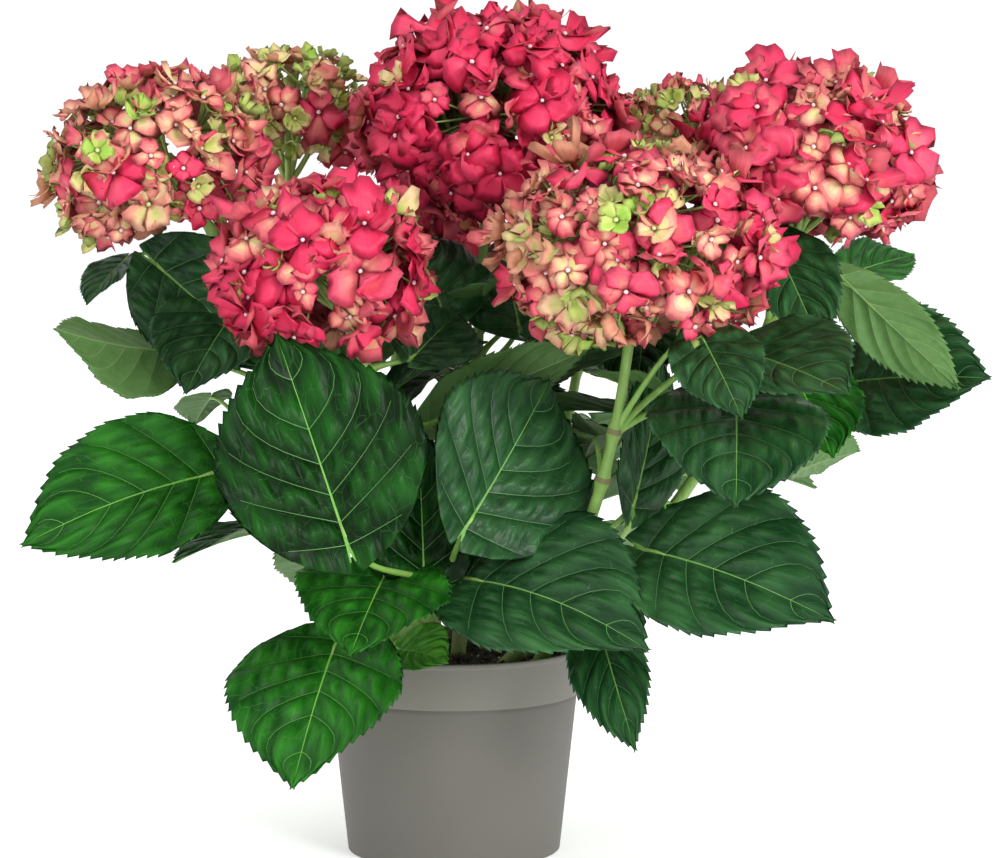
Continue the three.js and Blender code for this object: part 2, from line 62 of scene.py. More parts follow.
def rounded(profile, reach, steps=4):
    """Each inner corner gives way to a quadratic curve that starts and ends at its reach."""
    corners = np.array(profile, float)
    before, at, after = corners[:-2], corners[1:-1], corners[2:]
    ends = []
    for other in (before, after):
        leg = other - at
        length = np.linalg.norm(leg, axis=1, keepdims=True)
        ends.append(at + leg * np.minimum(reach / length, 0.45))
    t = np.linspace(0, 1, steps + 1)[None, :, None]
    start, end = ends[0][:, None], ends[1][:, None]
    curve = start * (1 - t) ** 2 + 2 * at[:, None] * t * (1 - t) + end * t**2
    return np.vstack([corners[:1], curve.reshape(-1, 2), corners[-1:]])


def grid_triangles(rows, columns, wrapped=False):
    """Two triangles for each cell of a grid whose vertices run row by row; wrapped joins the
    last column to the first."""
    index = np.arange(rows * columns).reshape(rows, columns)
    right = np.roll(index, -1, axis=1) if wrapped else index[:, 1:]
    left = index if wrapped else index[:, :-1]
    a, b, c, d = left[:-1], right[:-1], right[1:], left[1:]
    return np.stack([np.stack([a, b, c], -1), np.stack([a, c, d], -1)], 2).reshape(-1, 3)


def capped(rings, first_pole, last_pole):
    """Points and triangles of a skin over rings of shape (count, sides, 3), closed by one fan from
    the first ring to its pole and another from the last ring to its own."""
    count, sides = rings.shape[:2]
    around = np.arange(sides)
    onward = (around + 1) % sides
    low = np.stack([onward, around, np.full(sides, count * sides)], -1)
    last = (count - 1) * sides
    high = np.stack([last + around, last + onward, np.full(sides, count * sides + 1)], -1)
    points = np.vstack([rings.reshape(-1, 3), [first_pole, last_pole]])
    return points, np.vstack([grid_triangles(count, sides, wrapped=True), low, high])


def turned(profile, sides):
    """Radius and height pairs carried round the axis, with both ends closed on the axis."""
    angle = np.linspace(0, 2 * np.pi, sides, endpoint=False)
    radius, height = profile[1:-1, 0, None], profile[1:-1, 1, None]
    rings = np.stack([radius * np.cos(angle), radius * np.sin(angle), height + 0 * angle], -1)
    return capped(rings, (0, 0, profile[0, 1]), (0, 0, profile[-1, 1]))


def make_piece(name, parts, finishes, nodes, smooth=True):
    """Joins parts, each of points in millimetres, triangles, a finish number for each triangle
    and a pair of surface coordinates for each point, into one object of the frame."""
    first, points, faces, shades, charts = 0, [], [], [], []
    for part_points, part_faces, part_shades, part_chart in parts:
        points.append(part_points)
        faces.append(part_faces + first)
        shades.append(np.broadcast_to(part_shades, len(part_faces)))
        charts.append(np.zeros((len(part_points), 2)) if part_chart is None else part_chart)
        first += len(part_points)
    points, faces = np.vstack(points) * MILLIMETRE, np.vstack(faces).astype(np.int32)
    mesh = bpy.data.meshes.new(name)
    mesh.vertices.add(len(points))
    mesh.vertices.foreach_set("co", points.astype(np.float32).ravel())
    mesh.loops.add(faces.size)
    mesh.loops.foreach_set("vertex_index", faces.ravel())
    mesh.polygons.add(len(faces))
    mesh.polygons.foreach_set("loop_start", np.arange(0, faces.size, 3, dtype=np.int32))
    mesh.polygons.foreach_set("material_index", np.concatenate(shades).astype(np.int32))
    mesh.polygons.foreach_set("use_smooth", np.full(len(faces), smooth))
    chart = mesh.uv_layers.new(name="growth")
    chart.data.foreach_set("uv", np.vstack(charts)[faces.ravel()].astype(np.float32).ravel())
    for finish in finishes:
        mesh.materials.append(finish)
    mesh.update(calc_edges=True)
    piece = bpy.data.objects.new(name, mesh)
    bpy.context.scene.collection.objects.link(piece)
    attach(piece, "root")
    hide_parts(*nodes)
    return piece


def add_node(tree, kind, settings=None, **links):
    """Adds a shader node, sets its properties, and links or sets its inputs: by name, or by number
    where the key is an underscore and a number."""
    node = tree.nodes.new(kind)
    for name, value in (settings or {}).items():
        setattr(node, name, value)
    for name, value in links.items():
        key = int(name[1:]) if name[0] == "_" else name.replace("_", " ").title()
        if isinstance(value, bpy.types.NodeSocket):
            tree.links.new(value, node.inputs[key])
        else:
            node.inputs[key].default_value = value
    return node


def new_finish(name, roughness, specular=0.5):
    """A material of one Principled shader; returns it with its node tree and that shader."""
    material = bpy.data.materials.new(name)
    material.use_nodes = True
    tree = material.node_tree
    shader = tree.nodes["Principled BSDF"]
    shader.inputs["Roughness"].default_value = roughness
    shader.inputs["Specular IOR Level"].default_value = specular
    return material, tree, shader


def mixed(tree, share, first, second):
    """The two colours mixed by share, as an output socket."""
    node = tree.nodes.new("ShaderNodeMix")
    node.data_type = "RGBA"
    for key, value in ((0, share), (6, first), (7, second)):
        if isinstance(value, bpy.types.NodeSocket):
            tree.links.new(value, node.inputs[key])
        else:
            node.inputs[key].default_value = value if key == 0 else (*value, 1)
    return node.outputs[2]


def noise(tree, vector, scale, detail, roughness=0.5):
    """Smooth noise at the vector, as an output socket."""
    links = dict(vector=vector, scale=scale, detail=detail, roughness=roughness)
    return add_node(tree, "ShaderNodeTexNoise", **links).outputs["Fac"]


def coat(tree, shader, colour, height, strength, distance):
    """Gives the shader its colour, and a relief that lifts it by height times distance."""
    tree.links.new(colour, shader.inputs["Base Color"])
    bump = add_node(tree, "ShaderNodeBump", height=height, strength=strength, distance=distance)
    tree.links.new(bump.outputs["Normal"], shader.inputs["Normal"])


def moulded_plastic(name, dark, light):
    """Matt plastic: a slow drift between two tints, and a fine grain left by the mould."""
    material, tree, shader = new_finish(name, 0.62, 0.35)
    place = add_node(tree, "ShaderNodeTexCoord").outputs["Object"]
    drift, grain = noise(tree, place, 14.0, 3.0), noise(tree, place, 1600.0, 2.0)
    coat(tree, shader, mixed(tree, drift, dark, light), grain, 0.25, 0.0002)
    return material


pot_profile = [
    (0, 0),
    (POT_BASE_RADIUS, 0),
    (BODY_TOP_RADIUS, GROOVE_HEIGHT - 2.2),
    (BODY_TOP_RADIUS - 0.5, GROOVE_HEIGHT - 0.5),
    (BODY_TOP_RADIUS - 0.5, GROOVE_HEIGHT),
    (BODY_TOP_RADIUS + COLLAR_STEP, GROOVE_HEIGHT + 0.1),
    (POT_RIM_RADIUS - RIM_LIP, POT_HEIGHT - 2.8),
    (POT_RIM_RADIUS, POT_HEIGHT - 2.3),
    (POT_RIM_RADIUS, POT_HEIGHT),
    (POT_RIM_RADIUS - POT_WALL, POT_HEIGHT),
    (BODY_TOP_RADIUS - POT_WALL + COLLAR_STEP, GROOVE_HEIGHT + 0.6),
    (BODY_TOP_RADIUS - POT_WALL - 0.4, GROOVE_HEIGHT - 2),
    (POT_BASE_RADIUS - POT_WALL, FLOOR_THICKNESS),
    (0, FLOOR_THICKNESS),
]
pot_points, pot_faces = turned(rounded(pot_profile, 1.0), POT_SIDES)
# The faces on the collar take a lighter copy of the same taupe plastic. This is painted light: the collar
# is drawn brighter to stand in for the light that falls on it, not made of a different plastic.
on_collar = pot_points[pot_faces][..., 2].mean(1) > GROOVE_HEIGHT + 0.1
make_piece(
    "nursery_pot",
    [(pot_points, pot_faces, on_collar.astype(int), None)],
    [
        moulded_plastic("taupe_body", (0.111, 0.104, 0.092), (0.136, 0.129, 0.115)),
        moulded_plastic("taupe_collar_painted_light", (0.157, 0.15, 0.13), (0.192, 0.185, 0.162)),
    ],
    ["pot"],
)

# ---------------------------------------------------------------------------
# Soil. Moist peat with bark fibre and a few white grains of perlite, filled to just
# under the rim. Its top is crumbly, with loose crumbs and fibres lying on it.
# ---------------------------------------------------------------------------

SOIL_RINGS = 46
SOIL_SIDES = 120
SOIL_WAVES = 26
SOIL_WALL = 14.0
SOIL_DEPTH = 18.0
CRUMBS = 900
WHITE_GRAINS = 70
FIBRES = 110
soil_draw = np.random.default_rng(31)


def crumble(x, y):
    """Height of the soil's top: a sum of short waves that run in many directions."""
    draw = np.random.default_rng(5)
    heading = draw.uniform(0, 2 * np.pi, SOIL_WAVES)
    length = draw.uniform(4, 30, SOIL_WAVES)
    phase = draw.uniform(0, 2 * np.pi, SOIL_WAVES)
    run = x[..., None] * np.cos(heading) + y[..., None] * np.sin(heading)
    return (0.035 * length * np.sin(2 * np.pi * run / length + phase)).sum(-1) / 2.2


def soil_mound():
    """A closed plug: the crumbly top on a polar grid, then a smooth wall down into the pot."""
    edge = BODY_TOP_RADIUS - POT_WALL + COLLAR_STEP + 0.9
    radius = np.concatenate([np.linspace(1.2, edge, SOIL_RINGS), [edge, edge - 6]])[:, None]
    wall_ends = [SOIL_LEVEL - SOIL_WALL, SOIL_LEVEL - SOIL_DEPTH]
    height = np.concatenate([np.full(SOIL_RINGS, SOIL_LEVEL), wall_ends])
    angle = np.linspace(0, 2 * np.pi, SOIL_SIDES, endpoint=False)[None]
    x, y = radius * np.cos(angle), radius * np.sin(angle)
    rough = crumble(x, y) * np.concatenate([np.ones(SOIL_RINGS), [0, 0]])[:, None]
    rings = np.stack([x, y, height[:, None] + rough - (radius / edge) ** 6], -1)[::-1]
    return capped(rings, (0, 0, SOIL_LEVEL - SOIL_DEPTH), (0, 0, SOIL_LEVEL))


def lumps(centres, sizes, draw):
    """Rough grains: an icosahedron for each, its corners pushed in and out, stretched at random along its
    axes.
    """
    golden = (1 + 5**0.5) / 2
    base = np.array([[0, i, j * golden] for i in (-1, 1) for j in (-1, 1)])
    base = np.vstack([base, np.roll(base, 1, 1), np.roll(base, 2, 1)]) / np.hypot(1, golden)
    near = np.linalg.norm(base[:, None] - base[None], axis=-1) < 1.1
    faces = [
        (i, j, k)
        for i in range(12)
        for j in range(i + 1, 12)
        for k in range(j + 1, 12)
        if near[i, j] and near[j, k] and near[i, k]
    ]
    faces = np.array(faces)
    a, b, c = base[faces[:, 0]], base[faces[:, 1]], base[faces[:, 2]]
    inward = (np.cross(b - a, c - a) * a).sum(-1) < 0
    faces[inward] = faces[inward][:, ::-1]
    corners = base[None] * draw.uniform(0.65, 1.2, (len(centres), 12, 1))
    corners = corners * draw.uniform(0.6, 1.2, (len(centres), 1, 3)) * sizes[:, None, None]
    points = centres[:, None] + corners
    all_faces = faces[None] + 12 * np.arange(len(centres))[:, None, None]
    return points.reshape(-1, 3), all_faces.reshape(-1, 3)


def unit(vectors):
    """The vectors at a length of one."""
    return vectors / np.linalg.norm(vectors, axis=-1, keepdims=True)


def tubes(paths, radius, sides):
    """Closed tubes along paths of shape (count, steps, 3). Rings stand square to each path, and
    radius gives every ring, or every corner of a ring, its distance from the path."""
    count, steps = paths.shape[:2]
    along = unit(np.gradient(paths, axis=1))
    least = np.abs(along).max(1).argmin(1)
    helper = np.eye(3)[least][:, None, :]
    level = unit(np.cross(along, helper))
    lift = np.cross(along, level)
    angle = np.linspace(0, 2 * np.pi, sides, endpoint=False)[:, None]
    ring = np.cos(angle) * level[:, :, None] + np.sin(angle) * lift[:, :, None]
    radius = np.broadcast_to(radius, (count, steps, sides))
    points = paths[:, :, None] + ring * radius[..., None]
    walls = grid_triangles(steps, sides, wrapped=True)
    fan = np.arange(1, sides - 1)
    first = np.stack([0 * fan, fan + 1, fan], -1)
    last = (steps - 1) * sides + np.stack([0 * fan, fan, fan + 1], -1)
    faces = np.vstack([walls, first, last])
    faces = faces[None] + steps * sides * np.arange(count)[:, None, None]
    return points.reshape(-1, 3), faces.reshape(-1, 3)


def earthy(name, dark, light, roughness):
    """Crumbly matter: fine mottling between two tints, and a rough grain in its relief."""
    material, tree, shader = new_finish(name, roughness, 0.3)
    place = add_node(tree, "ShaderNodeTexCoord").outputs["Object"]
    mottle = noise(tree, place, 420.0, 5.0)
    coat(tree, shader, mixed(tree, mottle, dark, light), mottle, 0.8, 0.0008)
    return material


def scattered(count, draw):
    """Points strewn evenly over the soil, on its top."""
    radius = (BODY_TOP_RADIUS - POT_WALL - 1) * np.sqrt(draw.uniform(0, 1, count))
    angle = draw.uniform(0, 2 * np.pi, count)
    x, y = radius * np.cos(angle), radius * np.sin(angle)
    return np.stack([x, y, SOIL_LEVEL + crumble(x, y)], -1)


crumb_sizes = soil_draw.gamma(2.2, 0.55, CRUMBS) + 0.5
crumb_points, crumb_faces = lumps(scattered(CRUMBS, soil_draw), crumb_sizes, soil_draw)
crumb_shades = np.repeat(soil_draw.choice([0, 1, 2], CRUMBS, p=[0.55, 0.33, 0.12]), 20)
white_centres = scattered(WHITE_GRAINS, soil_draw) + [0, 0, 0.6]
white_sizes = soil_draw.uniform(0.5, 1.1, WHITE_GRAINS)
white_points, white_faces = lumps(white_centres, white_sizes, soil_draw)
fibre_start = scattered(FIBRES, soil_draw)
fibre_heading = soil_draw.uniform(0, 2 * np.pi, FIBRES)
fibre_run = np.linspace(0, 1, 6)[None, :] * soil_draw.uniform(5, 15, FIBRES)[:, None]
fibre_bend = fibre_heading[:, None] + soil_draw.uniform(-0.08, 0.08, FIBRES)[:, None] * fibre_run
fibre_paths = fibre_start[:, None] + np.stack(
    [fibre_run * np.cos(fibre_bend), fibre_run * np.sin(fibre_bend), 0.9 + 0.8 * np.sin(fibre_run / 3)], -1
)
reach = np.hypot(fibre_paths[..., 0], fibre_paths[..., 1]).max(1)
fibre_paths = fibre_paths[reach < BODY_TOP_RADIUS - POT_WALL - 1]
fibre_points, fibre_faces = tubes(fibre_paths, 0.28, 3)
mound_points, mound_faces = soil_mound()
make_piece(
    "potting_soil",
    [
        (mound_points, mound_faces, 0, None),
        (crumb_points, crumb_faces, crumb_shades, None),
        (white_points, white_faces, 3, None),
        (fibre_points, fibre_faces, 4, None),
    ],
    [
        earthy("moist_peat", (0.006, 0.0045, 0.004), (0.032, 0.021, 0.016), 0.85),
        earthy("dark_bark", (0.014, 0.009, 0.007), (0.055, 0.035, 0.024), 0.8),
        earthy("pale_bark", (0.07, 0.045, 0.03), (0.16, 0.11, 0.075), 0.8),
        earthy("perlite", (0.55, 0.5, 0.47), (0.85, 0.8, 0.78), 0.7),
        earthy("peat_fibre", (0.05, 0.03, 0.02), (0.14, 0.09, 0.06), 0.75),
    ],
    ["soil"],
    smooth=False,
)

# ---------------------------------------------------------------------------
# Shoots. Nine flowering canes and five leafy ones rise from the soil. Each is a round,
# tapering, pale green stem with swollen nodes, and carries opposite leaves at them.
# The rule that places them is the one that the solids grow by.
# ---------------------------------------------------------------------------

STEM_FOOT_RADIUS = 4.6
STEM_TOP_RADIUS = 3.1
FOOT_SINK = 4.0
NODE_ABOVE = 14.0
BLADE_FOLD = 12.0
BASE_LOBE = 0.1
PETIOLE_SINK = 0.14
PETIOLE_RADIUS = 2.1
SEEDED_PETIOLE = (26, 44)
SEEDED_RISE = (10, 40)
SEEDED_PITCH = (-34, 4)
SEEDED_LENGTH = (88, 118)
SEEDED_HEADING = (-18, 18)
SEEDED_ROLL = (-16, 16)
SEEDED_DROOP = (14, 34)
SEEDED_BROADNESS = 0.74
UPPER_LEAF_SHRINK = 0.11
LEAF_SEED = 2417
LEAF_CLEARANCE = 15.0
STEM_CLEARANCE = 11.0
HEAD_CLEARANCE = 6.0
FRONT_LIMIT = -20.0
POT_KEEP_OUT = 84.0
INNER_SEED = 27
INNER_NODES = 9
INNER_TURN = 30
INNER_LENGTH = (42, 80)
INNER_PETIOLE = (14, 40)
INNER_MIDDLE = 15.0
INNER_REACH = 125.0
INNER_FLOOR = 150.0
INNER_GAP = 7.0
INNER_FRONT = -70.0
UP = np.array([0.0, 0.0, 1.0])
# A shoot's foot in the soil, the knee that draws its curve, its tip, the shares of its length where
# its nodes lie, and the turn of its first pair of leaves. A flower head adds its half width and
# half height, its lean from upright, and how far down its florets run: to lowest in the solids,
# and here to hangs where that is given.
SHOOTS = {
    "left": dict(
        foot=(-22, 4), knee=(-78, -2, 290), tip=(-160, -10, 372), nodes=(0.4, 0.62, 0.8), turn=100,
        across=63, high=53, lean=18, lowest=-0.75,
    ),
    "left_back": dict(
        foot=(-14, 20), knee=(-112, 96, 230), tip=(-92, 110, 402), nodes=(0.35, 0.55, 0.72), turn=150,
        across=47, high=36, lean=0, lowest=-0.2, hangs=-0.75,
    ),
    "centre": dict(
        foot=(2, 12), knee=(12, 46, 250), tip=(20, 45, 395), nodes=(0.3, 0.5, 0.7), turn=80,
        across=78, high=64, lean=0, lowest=-0.88,
    ),
    "right_back": dict(
        foot=(20, 26), knee=(116, 100, 210), tip=(128, 114, 384), nodes=(0.35, 0.56, 0.76), turn=20,
        across=45, high=36, lean=0, lowest=-0.4,
    ),
    "right": dict(
        foot=(28, 4), knee=(165, 10, 190), tip=(192, 0, 374), nodes=(0.34, 0.52, 0.74), turn=60,
        across=65, high=53, lean=14, lowest=-0.75,
    ),
    "front_left": dict(
        foot=(-8, -12), knee=(-16, -36, 205), tip=(-66, -74, 317), nodes=(0.45, 0.62, 0.76), turn=90,
        across=59, high=50, lean=6, lowest=-0.8,
    ),
    "front_right": dict(
        foot=(24, -16), knee=(86, -84, 165), tip=(95, -90, 328), nodes=(0.4, 0.58, 0.68), turn=30,
        across=78, high=58, lean=0, lowest=-0.72, hangs=-0.9,
    ),
    "back_left": dict(
        foot=(-6, 34), knee=(-44, 120, 190), tip=(-32, 164, 318), nodes=(0.35, 0.55, 0.74), turn=60,
        across=54, high=44, lean=4, lowest=-0.6,
    ),
    "back_right": dict(
        foot=(16, 42), knee=(66, 130, 180), tip=(80, 164, 322), nodes=(0.35, 0.55, 0.74), turn=120,
        across=54, high=44, lean=4, lowest=-0.6,
    ),
    "low_back": dict(
        foot=(-20, 46), knee=(-40, 76, 150), tip=(-78, 98, 196), nodes=(0.3, 0.62, 0.96), turn=115,
    ),
    "low_side": dict(
        foot=(44, 22), knee=(70, 56, 140), tip=(112, 74, 186), nodes=(0.3, 0.62, 0.96), turn=10,
    ),
    "low_front": dict(
        foot=(-38, -36), knee=(-30, -42, 126), tip=(-2, -52, 146), nodes=(0.4, 0.7, 0.97), turn=-100,
    ),
    "low_left": dict(
        foot=(-36, -6), knee=(-58, -16, 160), tip=(-92, -22, 205), nodes=(0.6, 0.96), turn=190,
    ),
    "low_right": dict(
        foot=(44, -12), knee=(56, -30, 125), tip=(72, -40, 158), nodes=(0.55, 0.96), turn=-30,
    ),
}
# Shoot, seat, heading, pitch, roll, length, width and droop of each leaf that is given one by one.
PLACED_LEAVES = [
    ("low_left", (-117, -61, 212), -168, -19, 52, 115, 86, 38),
    ("low_left", (-131, 6, 246), 105, -21, 8, 56, 32, 10),
    ("low_front", (-50, -138, 179), 150, 68, 50, 116, 108, 8),
    ("low_front", (6, -100, 184), 55, 43, -66, 108, 102, 12),
    ("low_front", (4, -74, 157), -33, -14, -33, 120, 106, 42),
    ("low_front", (-59, -74, 127), -105, -41, 0, 101, 93, 18),
    ("low_front", (-33, -72, 162), -101, -21, 7, 92, 80, 15),
    ("low_front", (-29, -62, 118), -43, -5, -33, 38, 40, 30),
    ("low_front", (-14, -84, 150), 100, 75, -3, 88, 60, 10),
    ("low_right", (98, -70, 172), -35, -14, -40, 120, 100, 28),
    ("low_right", (74, -72, 141), -76, -38, -33, 99, 42, 10),
    ("left", (-164, 6, 320), -34, -33, -66, 102, 68, 10),
    ("left", (-148, -20, 271), -146, 12, -148, 73, 73, 20),
    ("left", (-178, 25, 320), -122, -35, -2, 43, 30, 18),
    ("left_back", (-82, 27, 340), -128, -2, 22, 60, 50, 15),
    ("left", (-114, -8, 296), -112, -34, 10, 78, 72, 20),
    ("front_left", (-15, -35, 232), 7, 25, 55, 100, 44, 15),
    ("front_left", (-22, -52, 269), 66, 20, -33, 64, 54, 10),
    ("centre", (-4, 0, 287), 106, 30, 0, 90, 66, 10),
    ("centre", (36, 10, 281), 98, 32, 21, 90, 66, 10),
    ("front_right", (94, -59, 190), 73, 52, -54, 98, 46, 15),
    ("front_right", (126, -105, 287), -69, -38, -19, 66, 48, 15),
    ("front_right", (148, -62, 252), -94, -30, 3, 100, 94, 15),
    ("front_right", (146, -74, 276), -55, -11, -24, 92, 74, 15),
    ("right", (169, -12, 333), -71, -40, -19, 88, 50, 15),
    ("right", (204, -20, 313), -34, -39, 118, 93, 38, 15),
    ("right", (211, 8, 253), -38, 4, -58, 91, 80, 20),
    ("right", (180, 0, 263), -73, -35, -3, 78, 60, 15),
    ("right_back", (211, 45, 308), 46, 9, -36, 70, 36, 10),
    ("right_back", (189, 20, 205), 51, 5, 49, 60, 36, 10),
]


def seeded(seed):
    """A linear congruential draw between 0 and 1, the same one that the solids grow by."""
    state = [seed]

    def draw():
        state[0] = (state[0] * 1664525 + 1013904223) % 4294967296
        return state[0] / 4294967296

    return draw


def facing(heading, rise):
    """The unit vector at a heading and a rise, both in radians."""
    return np.array([np.cos(heading) * np.cos(rise), np.sin(heading) * np.cos(rise), np.sin(rise)])


def cane_point(shoot, t):
    """A quadratic curve from the foot, drawn towards the knee, to the tip."""
    foot = np.array([*shoot["foot"], SOIL_LEVEL - FOOT_SINK])
    knee, tip = np.array(shoot["knee"]), np.array(shoot["tip"])
    t = np.asarray(t, float)[..., None]
    return foot * (1 - t) ** 2 + 2 * knee * t * (1 - t) + tip * t**2


def cane_length(shoot):
    """The length of the cane's curve, summed over 200 short chords."""
    return np.linalg.norm(np.diff(cane_point(shoot, np.linspace(0, 1, 201)), axis=0), axis=1).sum()


def cane_samples():
    """Points along every cane, to test that new leaves keep off them."""
    return np.vstack([cane_point(shoot, np.linspace(0, 1, 25)) for shoot in SHOOTS.values()])


def blade_axes(blade):
    """Unit vectors of a blade: along its midrib, to its right, and up from its face."""
    h, p, r = np.radians([blade["heading"], blade["pitch"], blade["roll"]])
    forward = facing(h, p)
    level = np.array([np.sin(h), -np.cos(h), 0.0])
    lift = np.cross(level, forward)
    return forward, level * np.cos(r) + lift * np.sin(r), lift * np.cos(r) - level * np.sin(r)


def half_width(blade, share):
    """Half the blade's width at a share of its length: broad below the middle, then pointed."""
    share = np.clip(share, 0, 1)
    oval = np.sin(np.pi * share**0.8).clip(0) ** 0.75
    return blade["width"] / 2 * oval * (1 - 0.45 * share**10)


def blade_point(blade, share, across):
    """A point of the blade's middle surface: an arc of the droop's angle along the midrib, with
    both halves folded up from it and the two base lobes set back."""
    forward, side, up = blade_axes(blade)
    share, across = np.broadcast_arrays(np.asarray(share, float), np.asarray(across, float))
    bend = np.radians(blade["droop"])
    radius = blade["length"] / bend
    angle = (share - 0.5) * bend
    half = half_width(blade, share)
    set_back = BASE_LOBE * blade["length"] * (1 - share) ** 4 * np.abs(across)
    ahead = radius * (np.sin(angle) + np.sin(bend / 2)) - set_back
    high = radius * (np.cos(angle) - np.cos(bend / 2))
    fold = np.radians(BLADE_FOLD)
    high = high + half * np.abs(across) * np.sin(fold)
    aside = half * across * np.cos(fold)
    return blade["seat"] + ahead[..., None] * forward + high[..., None] * up + aside[..., None] * side


def blade_samples(blade):
    """Points spread over a blade, to test that two leaves keep apart."""
    share, across = np.meshgrid([0.05, 0.25, 0.45, 0.65, 0.85, 1], [-1, -0.5, 0, 0.5, 1], indexing="ij")
    return blade_point(blade, share.ravel(), across.ravel())


def head_axis(shoot):
    """The way a flower head faces: up, leaning out from the plant's middle."""
    outward = unit(np.array([*shoot["tip"][:2], 0.0]))
    lean = np.radians(shoot["lean"])
    return UP * np.cos(lean) + outward * np.sin(lean)


def keeps_apart(points, taken, stem_points, front, leaf_gap, stem_gap):
    """Whether a new blade stays behind the front limit and clear of the pot, the heads, the stems
    and the other leaves."""
    if (points[:, 1] < front).any():
        return False
    low = points[:, 2] < POT_HEIGHT + HEAD_CLEARANCE
    if (low & (np.hypot(points[:, 0], points[:, 1]) < POT_KEEP_OUT)).any():
        return False
    for shoot in SHOOTS.values():
        if "across" not in shoot:
            continue
        offset = points - np.array(shoot["tip"])
        rise = offset @ head_axis(shoot)
        away = np.linalg.norm(offset - rise[:, None] * head_axis(shoot), axis=1)
        high, across = shoot["high"] + HEAD_CLEARANCE, shoot["across"] + HEAD_CLEARANCE
        if ((rise / high) ** 2 + (away / across) ** 2 < 1).any():
            return False
    to_stems = np.linalg.norm(points[:, None] - stem_points[None], axis=-1).min()
    to_leaves = np.linalg.norm(points[:, None] - taken[None], axis=-1).min()
    return to_stems >= stem_gap and to_leaves >= leaf_gap


def seeded_leaves(placed):
    """A pair of leaves at each node, each pair a quarter turn on, skipped where one would touch."""
    draw = seeded(LEAF_SEED)

    def between(span):
        return span[0] + (span[1] - span[0]) * draw()

    taken = np.vstack([blade_samples(blade) for blade in placed])
    stem_points = cane_samples()
    grown = []
    for name, shoot in SHOOTS.items():
        for level, node in enumerate(shoot["nodes"]):
            for half in (0, 180):
                heading = shoot["turn"] + 90 * level + half + between(SEEDED_HEADING)
                rise = np.radians(between(SEEDED_RISE))
                petiole = between(SEEDED_PETIOLE)
                length = between(SEEDED_LENGTH) * (1 - UPPER_LEAF_SHRINK * level)
                seat = cane_point(shoot, node) + facing(np.radians(heading), rise) * petiole
                blade = dict(shoot=name, seat=seat, heading=heading)
                blade.update(pitch=between(SEEDED_PITCH), roll=between(SEEDED_ROLL), length=length)
                blade.update(width=length * SEEDED_BROADNESS, droop=between(SEEDED_DROOP))
                points = blade_samples(blade)
                if keeps_apart(points, taken, stem_points, FRONT_LIMIT, LEAF_CLEARANCE, STEM_CLEARANCE):
                    grown.append(blade)
                    taken = np.vstack([taken, points])
    return grown


def inner_leaves(grown):
    """Young leaves inside the crown, grown on by the same rule: smaller blades on short petioles
    between the nodes, kept closer to their neighbours, near the axis and clear of the pot."""
    draw = np.random.default_rng(INNER_SEED)
    taken = np.vstack([blade_samples(blade) for blade in grown])
    stem_points = cane_samples()
    young = []
    for name, shoot in SHOOTS.items():
        for node in np.linspace(shoot["nodes"][0], shoot["nodes"][-1], INNER_NODES):
            for turn in range(0, 360, INNER_TURN):
                heading = shoot["turn"] + turn + draw.uniform(-25, 25)
                length = draw.uniform(*INNER_LENGTH)
                h, rise = np.radians([heading, draw.uniform(*SEEDED_RISE)])
                seat = cane_point(shoot, node) + facing(h, rise) * draw.uniform(*INNER_PETIOLE)
                blade = dict(shoot=name, seat=seat, heading=heading, length=length, node=node)
                blade.update(pitch=draw.uniform(-40, 30), roll=draw.uniform(-30, 30))
                blade.update(width=length * SEEDED_BROADNESS, droop=draw.uniform(*SEEDED_DROOP))
                points = blade_samples(blade)
                near_axis = np.hypot(points[:, 0] - INNER_MIDDLE, points[:, 1]).max() < INNER_REACH
                if near_axis and points[:, 2].min() > INNER_FLOOR:
                    if keeps_apart(points, taken, stem_points, INNER_FRONT, INNER_GAP, INNER_GAP):
                        young.append(blade)
                        taken = np.vstack([taken, points])
    return young


def node_for(blade):
    """The node that a petiole springs from: its own, or the nearest one below the leaf's seat."""
    shoot = SHOOTS[blade["shoot"]]
    if "node" in blade:
        return blade["node"]

    def cost(node):
        point = cane_point(shoot, node)
        return np.linalg.norm(blade["seat"] - point) + 2 * max(point[2] - blade["seat"][2], 0)

    return min(shoot["nodes"], key=cost)


placed_leaves = [
    dict(shoot=a, seat=np.array(b, float), heading=c, pitch=d, roll=e, length=f, width=g, droop=h)
    for a, b, c, d, e, f, g, h in PLACED_LEAVES
]
all_leaves = placed_leaves + seeded_leaves(placed_leaves)
all_leaves += inner_leaves(all_leaves)

# The canes' bark, the petioles and the branching rays under each flower head are one piece
# of green wood and stalk: round tubes with a swelling and a brown scar at every node.

CANE_STEPS = 90
CANE_SIDES = 14
PETIOLE_STEPS = 14
PETIOLE_SIDES = 8
RAY_COUNT = 9
FLORET_AREA = 27.0
FEWEST_FLORETS = 8
FLORET_DEPTH = 0.79
DEPTH_STEP = 0.06
DEPTH_JITTER = 0.03
AZIMUTH_JITTER = 40.0
GOLDEN_ANGLE = 137.508
FIRST_HEAD_SEED = 100


